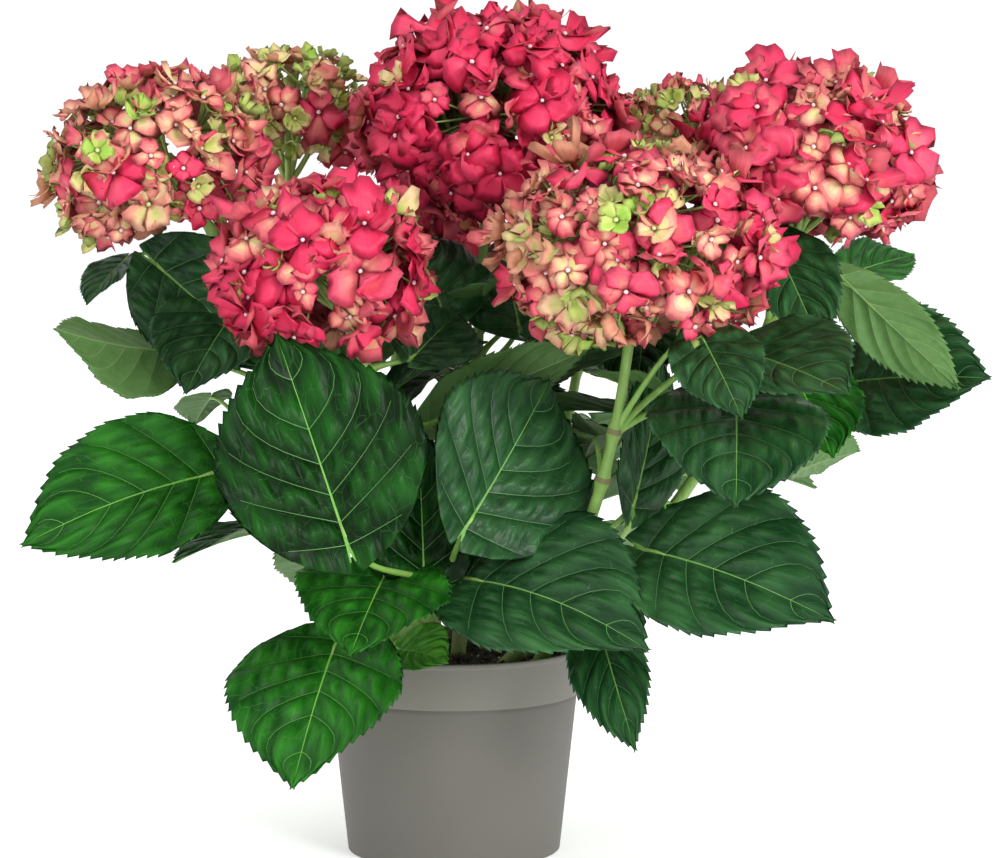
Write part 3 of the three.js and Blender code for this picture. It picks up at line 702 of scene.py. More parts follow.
def cane(shoot):
    """One cane from the soil to its tip. Its radius tapers, swells at each node, and carries
    shallow ribs; the faces in a narrow band over each node take the scar's brown."""
    length = cane_length(shoot)
    top = shoot["nodes"][-1] + NODE_ABOVE / length
    end = 1.0 if "across" in shoot else min(top, 1.0)
    t = np.linspace(0.012, end, CANE_STEPS)
    radius = STEM_FOOT_RADIUS + (STEM_TOP_RADIUS - STEM_FOOT_RADIUS) * np.minimum(t / top, 1)
    apart = (t[:, None] - np.array(shoot["nodes"])[None]) * length
    radius = radius - 0.4 + (1.3 * np.exp(-((apart / 4.2) ** 2))).sum(1)
    angle = np.linspace(0, 2 * np.pi, CANE_SIDES, endpoint=False)
    ribs = 0.1 * np.cos(3 * angle + 2)[None] + 0.1 * np.sin(5 * angle[None] + 40 * t[:, None])
    points, faces = tubes(cane_point(shoot, t)[None], (radius[:, None] + ribs)[None], CANE_SIDES)
    ring = faces.min(1) // CANE_SIDES
    scar = (np.abs(apart + 0.8).min(1) < 0.8)[ring]
    older = t[ring] < 0.13
    return points, faces, np.where(scar, 1, np.where(older, 2, 0)), None


def petiole(blade):
    """A cubic curve that leaves its node outward and rises into the midrib, round, stout where
    it clasps the cane and slimmer towards the blade."""
    start, seat = cane_point(SHOOTS[blade["shoot"]], node_for(blade)), blade["seat"]
    span = np.linalg.norm(start - seat)
    forward = blade_axes(blade)[0]
    out = start + (seat - start) * 0.4 + UP * 0.12 * span
    into = seat - forward * 0.22 * span
    end = blade_point(blade, PETIOLE_SINK, 0.0) - blade_axes(blade)[2] * 0.5
    t = np.linspace(0, 1, PETIOLE_STEPS)[:, None]
    path = start * (1 - t) ** 3 + 3 * out * t * (1 - t) ** 2 + 3 * into * t**2 * (1 - t) + end * t**3
    size = min(1.0, 0.45 + blade["length"] / 180)
    radius = size * PETIOLE_RADIUS * (1 - 0.42 * t[:, 0]) + 1.1 * np.exp(-((t[:, 0] * span / 5) ** 2))
    radius[-1] = 0.35
    points, faces = tubes(path[None], radius[None, :, None], PETIOLE_SIDES)
    return points, faces, 3, None


def head_frame(shoot):
    """The head's centre, its half sizes along its own axes, and the turn that leans it."""
    axis = head_axis(shoot)
    tilt = np.cross(UP, axis)
    sine, cosine = np.linalg.norm(tilt), axis @ UP
    turn = np.eye(3)
    if sine > 1e-9:
        k = tilt / sine
        cross = np.array([[0, -k[2], k[1]], [k[2], 0, -k[0]], [-k[1], k[0], 0]])
        turn = turn + sine * cross + (1 - cosine) * cross @ cross
    return np.array(shoot["tip"], float), np.array([shoot["across"], shoot["across"], shoot["high"]]), turn


def sphere_way(polar, azimuth):
    """Unit vectors by their angle from straight up and their heading, both in radians."""
    return np.stack([np.sin(polar) * np.cos(azimuth), np.sin(polar) * np.sin(azimuth), np.cos(polar)], -1)


def floret_places(shoot, seed):
    """The source's spiral with more turns: each floret a golden angle on from the last, from the
    head's top down to its lowest share, on three depths. Returns places, outward directions
    and normals."""
    draw = seeded(seed)
    centre, half, turn = head_frame(shoot)
    lowest = shoot.get("hangs", shoot["lowest"])
    count = round(shoot["across"] ** 2 / FLORET_AREA) + FEWEST_FLORETS
    index = np.arange(count)
    jitter = np.array([[draw(), draw()] for _ in index])
    polar = np.arccos(1 - (1 - lowest) * (index + 0.5) / count)
    azimuth = np.radians(GOLDEN_ANGLE * index + AZIMUTH_JITTER * jitter[:, 0])
    way = sphere_way(polar, azimuth)
    depth = FLORET_DEPTH - 0.03 + DEPTH_STEP * (index % 3) + DEPTH_JITTER * jitter[:, 1]
    places = centre + (way * half * depth[:, None]) @ turn.T
    return places, way, unit(way / half) @ turn.T


def rays(shoot, seed):
    """Rays fork from the stalk to points inside the head, and each floret's own thin stalk runs
    on from the nearest ray's end to the floret's back."""
    centre, half, turn = head_frame(shoot)
    length = cane_length(shoot)
    stalk = shoot["nodes"][-1] + NODE_ABOVE / length
    fork = cane_point(shoot, stalk + 0.45 * (1 - stalk))
    index = np.arange(RAY_COUNT)
    polar = np.arccos(1 - 1.15 * (index + 0.5) / RAY_COUNT)
    azimuth = np.radians(GOLDEN_ANGLE * index + 20)
    way = sphere_way(polar, azimuth)
    ends = centre + (way * half * 0.48) @ turn.T
    t = np.linspace(0, 1, 6)[None, :, None]
    bulge = (ends - fork)[:, None] * [1, 1, 0] * (t * (1 - t)) * 0.5
    paths = fork + (ends - fork)[:, None] * t + bulge
    thick = np.linspace(1.8, 1.1, 6)[None, :, None]
    ray_points, ray_faces = tubes(paths, thick, 6)
    places, _, normals = floret_places(shoot, seed)
    nearest = np.linalg.norm(places[:, None] - ends[None], axis=-1).argmin(1)
    t = np.linspace(0, 1, 4)[None, :, None]
    starts, finals = ends[nearest][:, None], (places - normals * 0.4)[:, None]
    bow = normals[:, None] * -6.0 * t * (1 - t)
    stalks = starts + (finals - starts) * t + bow
    stalk_points, stalk_faces = tubes(stalks, np.linspace(0.8, 0.55, 4)[None, :, None], 4)
    return [(ray_points, ray_faces, 4, None), (stalk_points, stalk_faces, 4, None)]


def green_bark(name, dark, light, roughness, speck):
    """Living bark: pale green streaked along the stem, with fine raised specks."""
    material, tree, shader = new_finish(name, roughness, 0.4)
    place = add_node(tree, "ShaderNodeTexCoord").outputs["Object"]
    squeeze = add_node(tree, "ShaderNodeMapping", vector=place, scale=(1.0, 1.0, 0.12))
    streak = noise(tree, squeeze.outputs["Vector"], 520.0, 3.0)
    coat(tree, shader, mixed(tree, streak, dark, light), noise(tree, place, speck, 2.0), 0.4, 0.0004)
    return material


stem_parts = [cane(shoot) for shoot in SHOOTS.values()]
stem_parts += [petiole(blade) for blade in all_leaves]
for number, (name, shoot) in enumerate(SHOOTS.items()):
    if "across" in shoot:
        stem_parts += rays(shoot, FIRST_HEAD_SEED + number)
make_piece(
    "canes_and_stalks",
    stem_parts,
    [
        green_bark("cane_green", (0.12, 0.26, 0.045), (0.25, 0.41, 0.1), 0.5, 900.0),
        green_bark("node_scar", (0.12, 0.13, 0.045), (0.22, 0.19, 0.09), 0.7, 900.0),
        green_bark("cane_foot", (0.14, 0.2, 0.06), (0.27, 0.32, 0.12), 0.65, 700.0),
        green_bark("petiole_green", (0.14, 0.32, 0.05), (0.28, 0.47, 0.11), 0.45, 900.0),
        green_bark("ray_green", (0.24, 0.4, 0.08), (0.42, 0.55, 0.18), 0.55, 900.0),
    ],
    [f"{kind}_{name}" for name in SHOOTS for kind in ("stem", "foliage")],
)

# ---------------------------------------------------------------------------
# Leaves. Broad toothed blades, quilted between their veins, with a satin dark green face
# and a pale matt back. The midrib and the side veins stand out pale. The petiole of each
# blade is made with the canes.
# ---------------------------------------------------------------------------

TEETH = 22
TOOTH_LENGTH = 3.0
SIDE_VEINS = 6
TIP_ROWS = 7
RIB_LEAVES = (0.8, 1.3, 12.0)
MARGIN_MEETS = 1.8
RIB_HALF = (1.1, 0.14)
VEIN_HALF = (0.23, 0.08)
WIDEST_SHIFT = 0.006
PUFF_HEIGHT = 1.3
BLADE_EDGE = 0.4
COLUMNS = np.array([0, 0, 0.14, 0.28, 0.43, 0.58, 0.73, 0.86, 0.955, 1])
leaf_draw = np.random.default_rng(77)


def blade_rows():
    """Row positions from base to tip: the valley and the point of every tooth, evenly along the
    margin, both edges of every side vein, and a few more towards the tip. Returns positions,
    the side of its vein that each row lies on, the veins' places, and which rows are points."""
    veins = (np.arange(SIDE_VEINS) + 0.5) / SIDE_VEINS
    margin = ((np.arange(TEETH)[:, None] + [0.1, 0.95]) / TEETH).ravel()
    rows = 1 - (1 - margin) ** (1 / MARGIN_MEETS)
    points = np.tile([0.0, 1.0], TEETH)
    clear = np.abs(rows[:, None] - veins[None]).min(1) > 1.5 * WIDEST_SHIFT
    tip = np.linspace(rows[-1], 0.9995, TIP_ROWS + 1)[1:]
    tip = tip[np.abs(tip[:, None] - veins[None]).min(1) > 1.5 * WIDEST_SHIFT]
    places = np.concatenate([[0.001], rows[clear], tip, veins, veins])
    plain = np.zeros(1 + clear.sum() + len(tip))
    sides = np.concatenate([plain, np.full(SIDE_VEINS, -1), np.full(SIDE_VEINS, 1)])
    points = np.concatenate([[0], points[clear], np.zeros(len(tip)), np.full(2 * SIDE_VEINS, 0.4)])
    order = np.argsort(places + sides * WIDEST_SHIFT)
    return places[order], sides[order], veins, points[order]


def rib_share(u):
    """Where along the midrib a side vein leaves it, and how fast that moves with u."""
    part, low, high = RIB_LEAVES
    place = part * u**low + (1 - part) * u**high
    return place, part * low * u ** (low - 1) + (1 - part) * high * u ** (high - 1)


def thin_sheet(rows, columns):
    """Triangles of a thin closed sheet on a grid. The face comes first. The back shares the face's
    rim, and its own points follow the grid's. Also returns which points of the grid have one."""
    inner = np.zeros((rows, columns), bool)
    inner[1:-1, 1:-1] = True
    under = np.arange(rows * columns)
    under[inner.ravel()] = rows * columns + np.arange(inner.sum())
    face = grid_triangles(rows, columns)
    return np.vstack([face, under[face][:, ::-1]]), inner


def blade_mesh(blade, tint):
    """A closed thin leaf. Rows follow the side veins, which leave the midrib and sweep forward to
    the margin; columns run from margin to margin, with the midrib as the two in the middle. The
    face rises between veins and sinks at them; the back lies under it by the leaf's thickness."""
    forward, side, up = blade_axes(blade)
    rows, sides, veins, points_out = blade_rows()
    size = min(1.0, blade["length"] / 105)
    u = rows[:, None]
    rib = RIB_HALF[0] + (RIB_HALF[1] - RIB_HALF[0]) * u**0.6
    rib = np.minimum(size * rib / np.maximum(half_width(blade, rib_share(u)[0]), 0.1), 0.5)
    v = rib + (1 - rib) * COLUMNS[None]
    v[:, 0] = 0
    sign = np.concatenate([-np.ones(len(COLUMNS) - 1), [1], np.ones(len(COLUMNS) - 1)])[None]
    v = np.hstack([v[:, :0:-1], v])
    spread = 0.78 * v + 0.22 * v**2
    pace = rib_share(u)[1] * (1 - spread) + MARGIN_MEETS * (1 - u) ** (MARGIN_MEETS - 1) * spread
    pace = blade["length"] * np.maximum(pace, 0.05)
    vein = size * (VEIN_HALF[0] + (VEIN_HALF[1] - VEIN_HALF[0]) * v)
    u = (u + sides[:, None] * np.minimum(vein / pace, WIDEST_SHIFT)).clip(0, 1)
    wander = leaf_draw.uniform(0, 2 * np.pi, 7)
    sway = 0.022 * np.sin(np.pi * v) * np.sin(4 * u + wander[5] + sign * wander[6]) * (1 - u)
    from_rib, to_edge = rib_share(u)[0], 1 - (1 - u) ** MARGIN_MEETS
    share = (from_rib + (to_edge - from_rib) * spread + sway * u).clip(0, 1)
    narrow = 1 - 0.75 * share**13
    half = half_width(blade, share) * narrow
    points = blade_point(blade, share, sign * v * narrow)

    cell = u * SIDE_VEINS - 0.5
    between = np.abs(np.sin(np.pi * np.clip(cell, -0.5, SIDE_VEINS)))
    puff = between**0.8 * np.minimum(v / 0.2, 1) ** 0.7 * (1 - 0.75 * v**5)
    height = PUFF_HEIGHT * size * puff * (1 + 0.3 * np.sin(7 * u + wander[0]))
    wave = np.sin(2 * np.pi * 1.6 * to_edge + wander[2] + (sign > 0) * wander[3])
    ruffle = np.sin(2 * np.pi * 4.5 * to_edge + wander[4] * sign)
    height += size * v**3 * (2.4 * wave + 0.9 * ruffle) * np.sin(np.pi * share) ** 0.5
    height -= 0.7 * size * np.exp(-((v * half / 2.5) ** 2)) * (1 - share)
    points = points + height[..., None] * up

    margin = np.where(v == 1, 1.0, np.where(v > 0.95, 0.1, 0)) * np.minimum(to_edge / 0.12, 1) ** 1.5
    tooth = points_out[:, None] * TOOTH_LENGTH * size * margin * (1 - 0.3 * to_edge)
    points = points + tooth[..., None] * (0.8 * forward + 0.6 * sign[..., None] * side)

    thick = BLADE_EDGE + (0.5 * (1 - share) + 0.9 * (v == 0) * (1 - 0.7 * share)) * size
    count_rows, count_columns = share.shape
    all_faces, inner = thin_sheet(count_rows, count_columns)
    all_points = np.vstack([points.reshape(-1, 3), (points - thick[..., None] * up)[inner]])

    row, column = np.divmod(np.arange((count_rows - 1) * (count_columns - 1)), count_columns - 1)
    middle = len(COLUMNS) - 1
    near_rib = (column == middle) | (column == middle - 1)
    within = (v[row, column] < 0.95) & (v[row, column + 1] < 0.95)
    on_vein = (sides[row] == -1) & (sides[row + 1] == 1) & within
    shade = np.where(near_rib, 4 + tint, np.where(on_vein, 8 + tint, tint))
    beneath = np.where(near_rib | on_vein, 13, 12)
    shades = np.concatenate([np.repeat(shade, 2), np.repeat(beneath, 2)])
    chart = np.stack([sign * v * half / 10, cell], -1)
    all_chart = np.vstack([chart.reshape(-1, 2), chart[inner]])
    return all_points, all_faces, shades, all_chart


def scaled(tree, value, factor, offset=0.0, clamp=False):
    """The value times the factor, plus the offset, as an output socket; clamp keeps it within 0
    and 1. Factor and offset are numbers or sockets."""
    settings = {"operation": "MULTIPLY_ADD", "use_clamp": clamp}
    return add_node(tree, "ShaderNodeMath", settings, _0=value, _1=factor, _2=offset).outputs[0]


def cell_edges(tree, vector, scale):
    """The distance to the nearest edge in a net of cells, as an output socket."""
    settings = {"feature": "DISTANCE_TO_EDGE"}
    return add_node(tree, "ShaderNodeTexVoronoi", settings, vector=vector, scale=scale).outputs["Distance"]


def leaf_face(name, deep, light, thread, roughness, specular):
    """Satin upper side. Soft puckers run across from vein to vein and fade at the veins; the
    green is painted lighter on the puckers and darker in the dips between them and at the
    veins, as painted light and shade on the relief, and finer veins thread it as a pale net."""
    material, tree, shader = new_finish(name, roughness, specular)
    place = add_node(tree, "ShaderNodeTexCoord").outputs["Object"]
    chart = add_node(tree, "ShaderNodeUVMap", {"uv_map": "growth"}).outputs["UV"]
    parts = add_node(tree, "ShaderNodeSeparateXYZ", vector=chart)
    fraction = add_node(tree, "ShaderNodeMath", {"operation": "FRACT"}, _0=parts.outputs["Y"]).outputs[0]
    crown = scaled(tree, fraction, scaled(tree, fraction, -1.0, 1.0))
    across = add_node(tree, "ShaderNodeMapping", vector=chart, scale=(1.5, 0.9, 1.0))
    pucker = noise(tree, across.outputs["Vector"], 1.0, 1.5, 0.4)
    ridge = scaled(tree, scaled(tree, pucker, 16.0, -5.0), crown)
    grid = add_node(tree, "ShaderNodeMapping", vector=chart, scale=(1.7, 2.6, 1.0))
    line = scaled(tree, cell_edges(tree, grid.outputs["Vector"], 1.0), -22.0, 0.75, clamp=True)
    # Painted light and shade: the same ridge that lifts the relief also lightens the green on the pucker
    # crowns and darkens it in the dips and at the veins.
    painted_pucker_shade = scaled(tree, ridge, 0.55, -0.75)
    green = mixed(tree, scaled(tree, noise(tree, place, 30.0, 3.0), 1.5, painted_pucker_shade, clamp=True), deep, light)
    colour = mixed(tree, scaled(tree, line, 0.32), green, thread)
    coat(tree, shader, colour, scaled(tree, line, -0.12, ridge), 0.9, 0.0016)
    return material


def leaf_vein(name, dark, light, roughness=0.5):
    """Veins and the leaf's back: matt, softly mottled, with a faint net in the relief."""
    material, tree, shader = new_finish(name, roughness, 0.3)
    place = add_node(tree, "ShaderNodeTexCoord").outputs["Object"]
    colour = mixed(tree, noise(tree, place, 260.0, 3.0), dark, light)
    coat(tree, shader, colour, cell_edges(tree, place, 420.0), 0.35, 0.0005)
    return material


LEAF_FINISHES = [
    leaf_face("leaf_old", (0.004, 0.034, 0.008), (0.03, 0.12, 0.032), (0.055, 0.16, 0.05), 0.4, 0.24),
    leaf_face("leaf_full", (0.001, 0.012, 0.001), (0.009, 0.078, 0.007), (0.035, 0.16, 0.03), 0.36, 0.1),
    leaf_face("leaf_fresh", (0.002, 0.045, 0.002), (0.024, 0.19, 0.012), (0.055, 0.25, 0.03), 0.42, 0.15),
    leaf_face("leaf_young", (0.045, 0.2, 0.014), (0.12, 0.42, 0.035), (0.18, 0.48, 0.07), 0.46, 0.2),
    leaf_vein("midrib_old", (0.1, 0.26, 0.06), (0.2, 0.4, 0.1)),
    leaf_vein("midrib_full", (0.09, 0.29, 0.045), (0.18, 0.42, 0.07)),
    leaf_vein("midrib_fresh", (0.1, 0.34, 0.045), (0.21, 0.48, 0.07)),
    leaf_vein("midrib_young", (0.18, 0.43, 0.07), (0.32, 0.58, 0.13)),
    leaf_vein("side_vein_old", (0.055, 0.18, 0.05), (0.11, 0.26, 0.075)),
    leaf_vein("side_vein_full", (0.045, 0.18, 0.03), (0.09, 0.28, 0.048)),
    leaf_vein("side_vein_fresh", (0.05, 0.22, 0.022), (0.1, 0.31, 0.04)),
    leaf_vein("side_vein_young", (0.13, 0.36, 0.045), (0.22, 0.48, 0.08)),
    leaf_vein("leaf_back", (0.053, 0.135, 0.033), (0.1, 0.21, 0.056), 0.6),
    leaf_vein("leaf_back_vein", (0.13, 0.26, 0.08), (0.22, 0.36, 0.12), 0.6),
]
# The finish of each placed leaf: 0 old, 1 full, 2 fresh, 3 young.
LEAF_TINTS = [2, 0, 1, 0, 0, 2, 2, 3, 1, 0, 0, 0, 1, 0, 1, 0, 1, 0, 0, 0, 0, 0, 0, 0, 0, 1, 0, 2, 2, 3]
others = len(all_leaves) - len(LEAF_TINTS)
tints = LEAF_TINTS + list(leaf_draw.choice([0, 1, 2], others, p=[0.5, 0.35, 0.15]))
leaf_meshes = [(blade["shoot"], blade_mesh(blade, tint)) for blade, tint in zip(all_leaves, tints)]
LEAF_GROUPS = {
    "leaves_left": ["left", "left_back", "low_left", "low_back"],
    "leaves_middle": ["low_front", "front_left", "centre", "back_left"],
    "leaves_right": ["right", "right_back", "front_right", "low_right", "low_side", "back_right"],
}
for group, members in LEAF_GROUPS.items():
    parts = [mesh for shoot, mesh in leaf_meshes if shoot in members]
    make_piece(group, parts, LEAF_FINISHES, ["foliage_" + name for name in members])

# ---------------------------------------------------------------------------
# Flower heads. Domes of papery florets, each with four broad, overlapping, wavy-edged
# sepals round a small bud, carried on the rays. They ripen from lime through peach and
# rose to crimson, in patches.
# ---------------------------------------------------------------------------

SEPALS = 4
SEPAL_ROWS = 3
SEPAL_COLUMNS = 7
SEPAL_THICKNESS = 0.35
TONE_STEPS = 10
RIPENESS = [0.0, 3.0, 5.0, 6.5, 7.5, 9.0]
EDGE_TONE = [0.7, 4.6, 6.3, 7.1, 7.9, 9.0]
MIDDLE_TONE = [0.1, 0.9, 1.6, 3.2, 6.2, 7.9]
# A head's floret radius, its shares of wide and of green florets, the mean and spread of their
# ripeness, and a patch of it: which way it lies, how far it turns the ripeness, and its reach.
BLUSH = {
    "left": dict(
        size=15.8, wide=0.12, mean=4.7, spread=1.3, green=0.3,
        patch=(0.75, -0.6, -0.5), turn=3.6, reach=0.14,
    ),
    "left_back": dict(
        size=14.0, wide=0.1, mean=2.9, spread=1.0, green=0.5,
        patch=(0.2, -0.4, -0.9), turn=3.6, reach=0.5,
    ),
    "centre": dict(
        size=17.0, wide=0.45, mean=7.6, spread=0.9, green=0.04,
        patch=(0.5, -0.8, -0.2), turn=-1.0, reach=0.2,
    ),
    "right_back": dict(
        size=13.5, wide=0.1, mean=4.0, spread=1.2, green=0.5,
        patch=(0.3, -0.3, 0.7), turn=1.5, reach=0.6,
    ),
    "right": dict(
        size=17.0, wide=0.4, mean=6.5, spread=1.1, green=0.14,
        patch=(-0.35, -0.8, 0.35), turn=-2.2, reach=0.2,
    ),
    "front_left": dict(
        size=16.8, wide=0.45, mean=6.5, spread=1.1, green=0.12,
        patch=(0.45, -0.85, 0.0), turn=-2.0, reach=0.18,
    ),
    "front_right": dict(
        size=16.0, wide=0.2, mean=5.1, spread=1.1, green=0.22,
        patch=(0.95, -0.35, 0.0), turn=3.0, reach=0.3,
    ),
    "back_left": dict(
        size=16.0, wide=0.3, mean=6.0, spread=1.1, green=0.2,
        patch=(0.2, 0.8, 0.5), turn=-1.5, reach=0.4,
    ),
    "back_right": dict(
        size=16.0, wide=0.3, mean=6.4, spread=1.0, green=0.15,
        patch=(-0.3, 0.9, 0.2), turn=-1.5, reach=0.4,
    ),
}


def floret_frames(normals, spin):
    """Two unit vectors square to each normal, turned about it by the spin."""
    upright = np.abs(normals[:, 2:]) > 0.9
    helper = np.where(upright, np.array([0.0, 1.0, 0.0]), UP)
    first = unit(np.cross(normals, helper))
    second = np.cross(normals, first)
    cosine, sine = np.cos(spin)[:, None], np.sin(spin)[:, None]
    return first * cosine + second * sine, second * cosine - first * sine


def sepals(places, normals, radii, cups, ripeness, draw):
    """Every sepal of a head on one grid: u runs out from the floret's middle and w across. A
    sepal is a fan of about 105 degrees with an uneven outer edge, sometimes with a short point;
    opposite ones lie over the other two. Its tone is the edge's, less a soft blotch at its middle."""
    count = len(places) * SEPALS
    own = np.repeat(np.arange(len(places)), SEPALS)
    pair = np.tile(np.arange(SEPALS), len(places))
    spin = np.repeat(draw.uniform(0, 2 * np.pi, len(places)), SEPALS)
    spin = spin + pair * 2 * np.pi / SEPALS + draw.normal(0, 0.09, count)
    out, along = floret_frames(normals[own], spin)
    u = np.linspace(0.05, 1, SEPAL_ROWS + 1)[None, :, None]
    w = np.linspace(-1, 1, SEPAL_COLUMNS + 1)[None, None, :]
    phase = draw.uniform(0, 2 * np.pi, (4, count, 1, 1))

    def vary(low, high):
        return draw.uniform(low, high, (count, 1, 1))

    def stray(middle, deviation):
        return draw.normal(middle, deviation, (count, 1, 1))

    length = vary(0.84, 1.14) * radii[own][:, None, None]
    edge = 1.0 - vary(0.16, 0.34) * np.abs(w) ** 1.8 + vary(0.0, 0.12) * np.exp(-((w / 0.3) ** 2))
    edge = edge + 0.04 * np.sin(8 * w + phase[0]) + draw.normal(0, 0.045, (count, 1, SEPAL_COLUMNS + 1))
    ahead = length * u * (1 + (edge - 1) * u**1.5)
    angle = np.radians(vary(47, 58)) * w
    x, y = ahead * np.cos(angle), ahead * np.sin(angle)
    z = 0.035 * (pair % 2)[:, None, None] + 0.1 * u + (cups[own][:, None, None] + stray(0, 0.12)) * u**2
    z = z + stray(-0.04, 0.15) * np.abs(w) * u + stray(0, 0.2) * w * u + stray(-0.06, 0.2) * u**5
    z = z + u**1.5 * (0.14 * np.sin(3.4 * w + phase[2]) + 0.085 * np.sin(8 * w + phase[0]))
    points = places[own][:, None, None] + x[..., None] * out[:, None, None]
    points = points + y[..., None] * along[:, None, None]
    points = points + (z * length)[..., None] * normals[own][:, None, None]

    template, inner = thin_sheet(SEPAL_ROWS + 1, SEPAL_COLUMNS + 1)
    back = (points - SEPAL_THICKNESS * normals[own][:, None, None])[:, inner]
    everything = np.concatenate([points.reshape(count, -1, 3), back], 1)
    faces = template[None, :, ::-1] + everything.shape[1] * np.arange(count)[:, None, None]

    ripe = np.clip(ripeness[own][:, None, None] + stray(0, 0.35), 0, 9)
    rim, heart = np.interp(ripe, RIPENESS, EDGE_TONE), np.interp(ripe, RIPENESS, MIDDLE_TONE)
    reach, breadth = (u - vary(0.3, 0.46)) / vary(0.26, 0.4), w / vary(0.55, 1.0)
    blotch = vary(0.6, 1.05) * np.exp(-(reach**2) - breadth**2)
    tone = rim + (heart - rim) * blotch + 0.25 * np.sin(9 * w + phase[1]) * u
    tone = np.clip(tone + 0.35 * np.sin(2.2 * w + 2.5 * u + phase[3]), 0, TONE_STEPS - 0.01)
    corners = tone[:, 1:, 1:] + tone[:, :-1, 1:] + tone[:, 1:, :-1] + tone[:, :-1, :-1]
    face_tone = corners.reshape(count, -1) / 4
    front_shade = np.repeat(np.floor(face_tone), 2, axis=1)
    back_shade = TONE_STEPS + np.repeat(np.digitize(face_tone, [2.8, 6.3]), 2, axis=1)
    shades = np.concatenate([front_shade, back_shade], 1).ravel()
    sweep = np.broadcast_to(0.5 * w, tone.shape) + vary(0, 50)
    chart = np.stack([sweep, tone], -1)
    chart = np.concatenate([chart.reshape(count, -1, 2), chart[:, inner]], 1)
    return everything.reshape(-1, 3), faces.reshape(-1, 3), shades, chart.reshape(-1, 2)


def buds(places, normals, sizes, ripeness):
    """The bud in each floret's middle: a dome of three rings closed by a point."""
    first, second = floret_frames(normals, np.zeros(len(places)))
    rise = np.array([-0.3, 0.45, 0.85])
    width = np.array([0.8, 1.0, 0.6])
    angle = np.linspace(0, 2 * np.pi, 6, endpoint=False)
    x, y = np.outer(width, np.cos(angle)).ravel(), np.outer(width, np.sin(angle)).ravel()
    ring = np.stack([x, y, np.repeat(rise, 6)], -1)
    ring = np.vstack([ring, [[0, 0, -0.3], [0, 0, 1.05]]])
    axes = np.stack([first, -second, normals], 1)
    points = places[:, None] + (ring[None] * sizes[:, None, None]) @ axes
    around = np.arange(6)
    onward = (around + 1) % 6
    low = np.stack([around, onward, np.full(6, 18)], -1)
    high = np.stack([12 + onward, 12 + around, np.full(6, 19)], -1)
    template = np.vstack([grid_triangles(3, 6, wrapped=True)[:, ::-1], low, high])
    faces = template[None] + 20 * np.arange(len(places))[:, None, None]
    shades = np.repeat(np.where(ripeness > 3.2, TONE_STEPS + 3, TONE_STEPS + 4), len(template))
    return points.reshape(-1, 3), faces.reshape(-1, 3), shades, None


def flower_head(name, seed):
    """One head's florets and buds. Ripeness varies from floret to floret round the head's mean
    and shifts towards one patch. A share stays small, cupped and lime green, a share opens wide,
    flat and riper, and the rest is crumpled."""
    shoot, look = SHOOTS[name], BLUSH[name]
    draw = np.random.default_rng(seed)
    places, way, normals = floret_places(shoot, seed)
    count = len(places)
    near = np.exp(-((1 - way @ unit(np.array(look["patch"], float))) / look["reach"]))
    ripeness = look["mean"] + look["spread"] * draw.normal(0, 1, count) + look["turn"] * near
    small = draw.uniform(0, 1, count) < look["green"]
    wide = draw.uniform(0, 1, count) < look["wide"] * np.clip(ripeness / 5 - 0.4, 0.1, 1.2)
    ripeness = np.where(wide, np.clip(ripeness + 1.6, 7.2, 9), np.clip(ripeness, 2.6, 8.6))
    ripeness = np.where(small, draw.uniform(0, 2.4, count), ripeness)
    grown = np.where(wide, draw.uniform(0.95, 1.15, count), draw.uniform(0.48, 0.86, count))
    radii = look["size"] * np.where(small, draw.uniform(0.4, 0.62, count), grown)
    cups = np.where(wide, draw.normal(-0.02, 0.09, count), draw.normal(0.12, 0.3, count))
    cups = np.where(small, draw.uniform(0.35, 0.9, count), cups)
    stray = np.where(wide, 0.2, 0.45)[:, None] * draw.normal(0, 1, (count, 3))
    tilted = unit(normals + stray + [0, 0, 0.1])
    places = places + (wide * 1.5 - 1.0)[:, None] * normals
    petals = sepals(places, tilted, radii, cups, ripeness, draw)
    raised = places + tilted * (0.06 * radii)[:, None]
    return [petals, buds(raised, tilted, draw.uniform(1.1, 1.45, count), ripeness)]


def fan_veins(tree):
    """Fine veins along a sepal, as noise that varies fast across it, and the tone that the chart
    carries."""
    chart = add_node(tree, "ShaderNodeUVMap", {"uv_map": "growth"}).outputs["UV"]
    stretch = add_node(tree, "ShaderNodeMapping", vector=chart, scale=(15.0, 0.35, 1.0))
    veins = noise(tree, stretch.outputs["Vector"], 1.0, 3.0, 0.6)
    return veins, add_node(tree, "ShaderNodeSeparateXYZ", vector=chart).outputs["Y"]


def sepal_finish(name, step, tone, riper):
    """Papery face of a sepal: it runs from its own tone to the next riper one by the tone that
    the surface carries, with fine veins a little ahead of it, in colour and in relief."""
    material, tree, shader = new_finish(name, 0.52, 0.36)
    veins, ripeness = fan_veins(tree)
    ahead = scaled(tree, veins, 1.8, -0.9 - step)
    share = scaled(tree, ripeness, 1.0, ahead, clamp=True)
    coat(tree, shader, mixed(tree, share, tone, riper), veins, 0.4, 0.0006)
    return material


def dull_finish(name, dark, light, roughness=0.65):
    """Dull back of a sepal, or a bud: two tints mixed along the same fine veins."""
    material, tree, shader = new_finish(name, roughness, 0.2)
    veins, _ = fan_veins(tree)
    coat(tree, shader, mixed(tree, veins, dark, light), veins, 0.5, 0.0006)
    return material


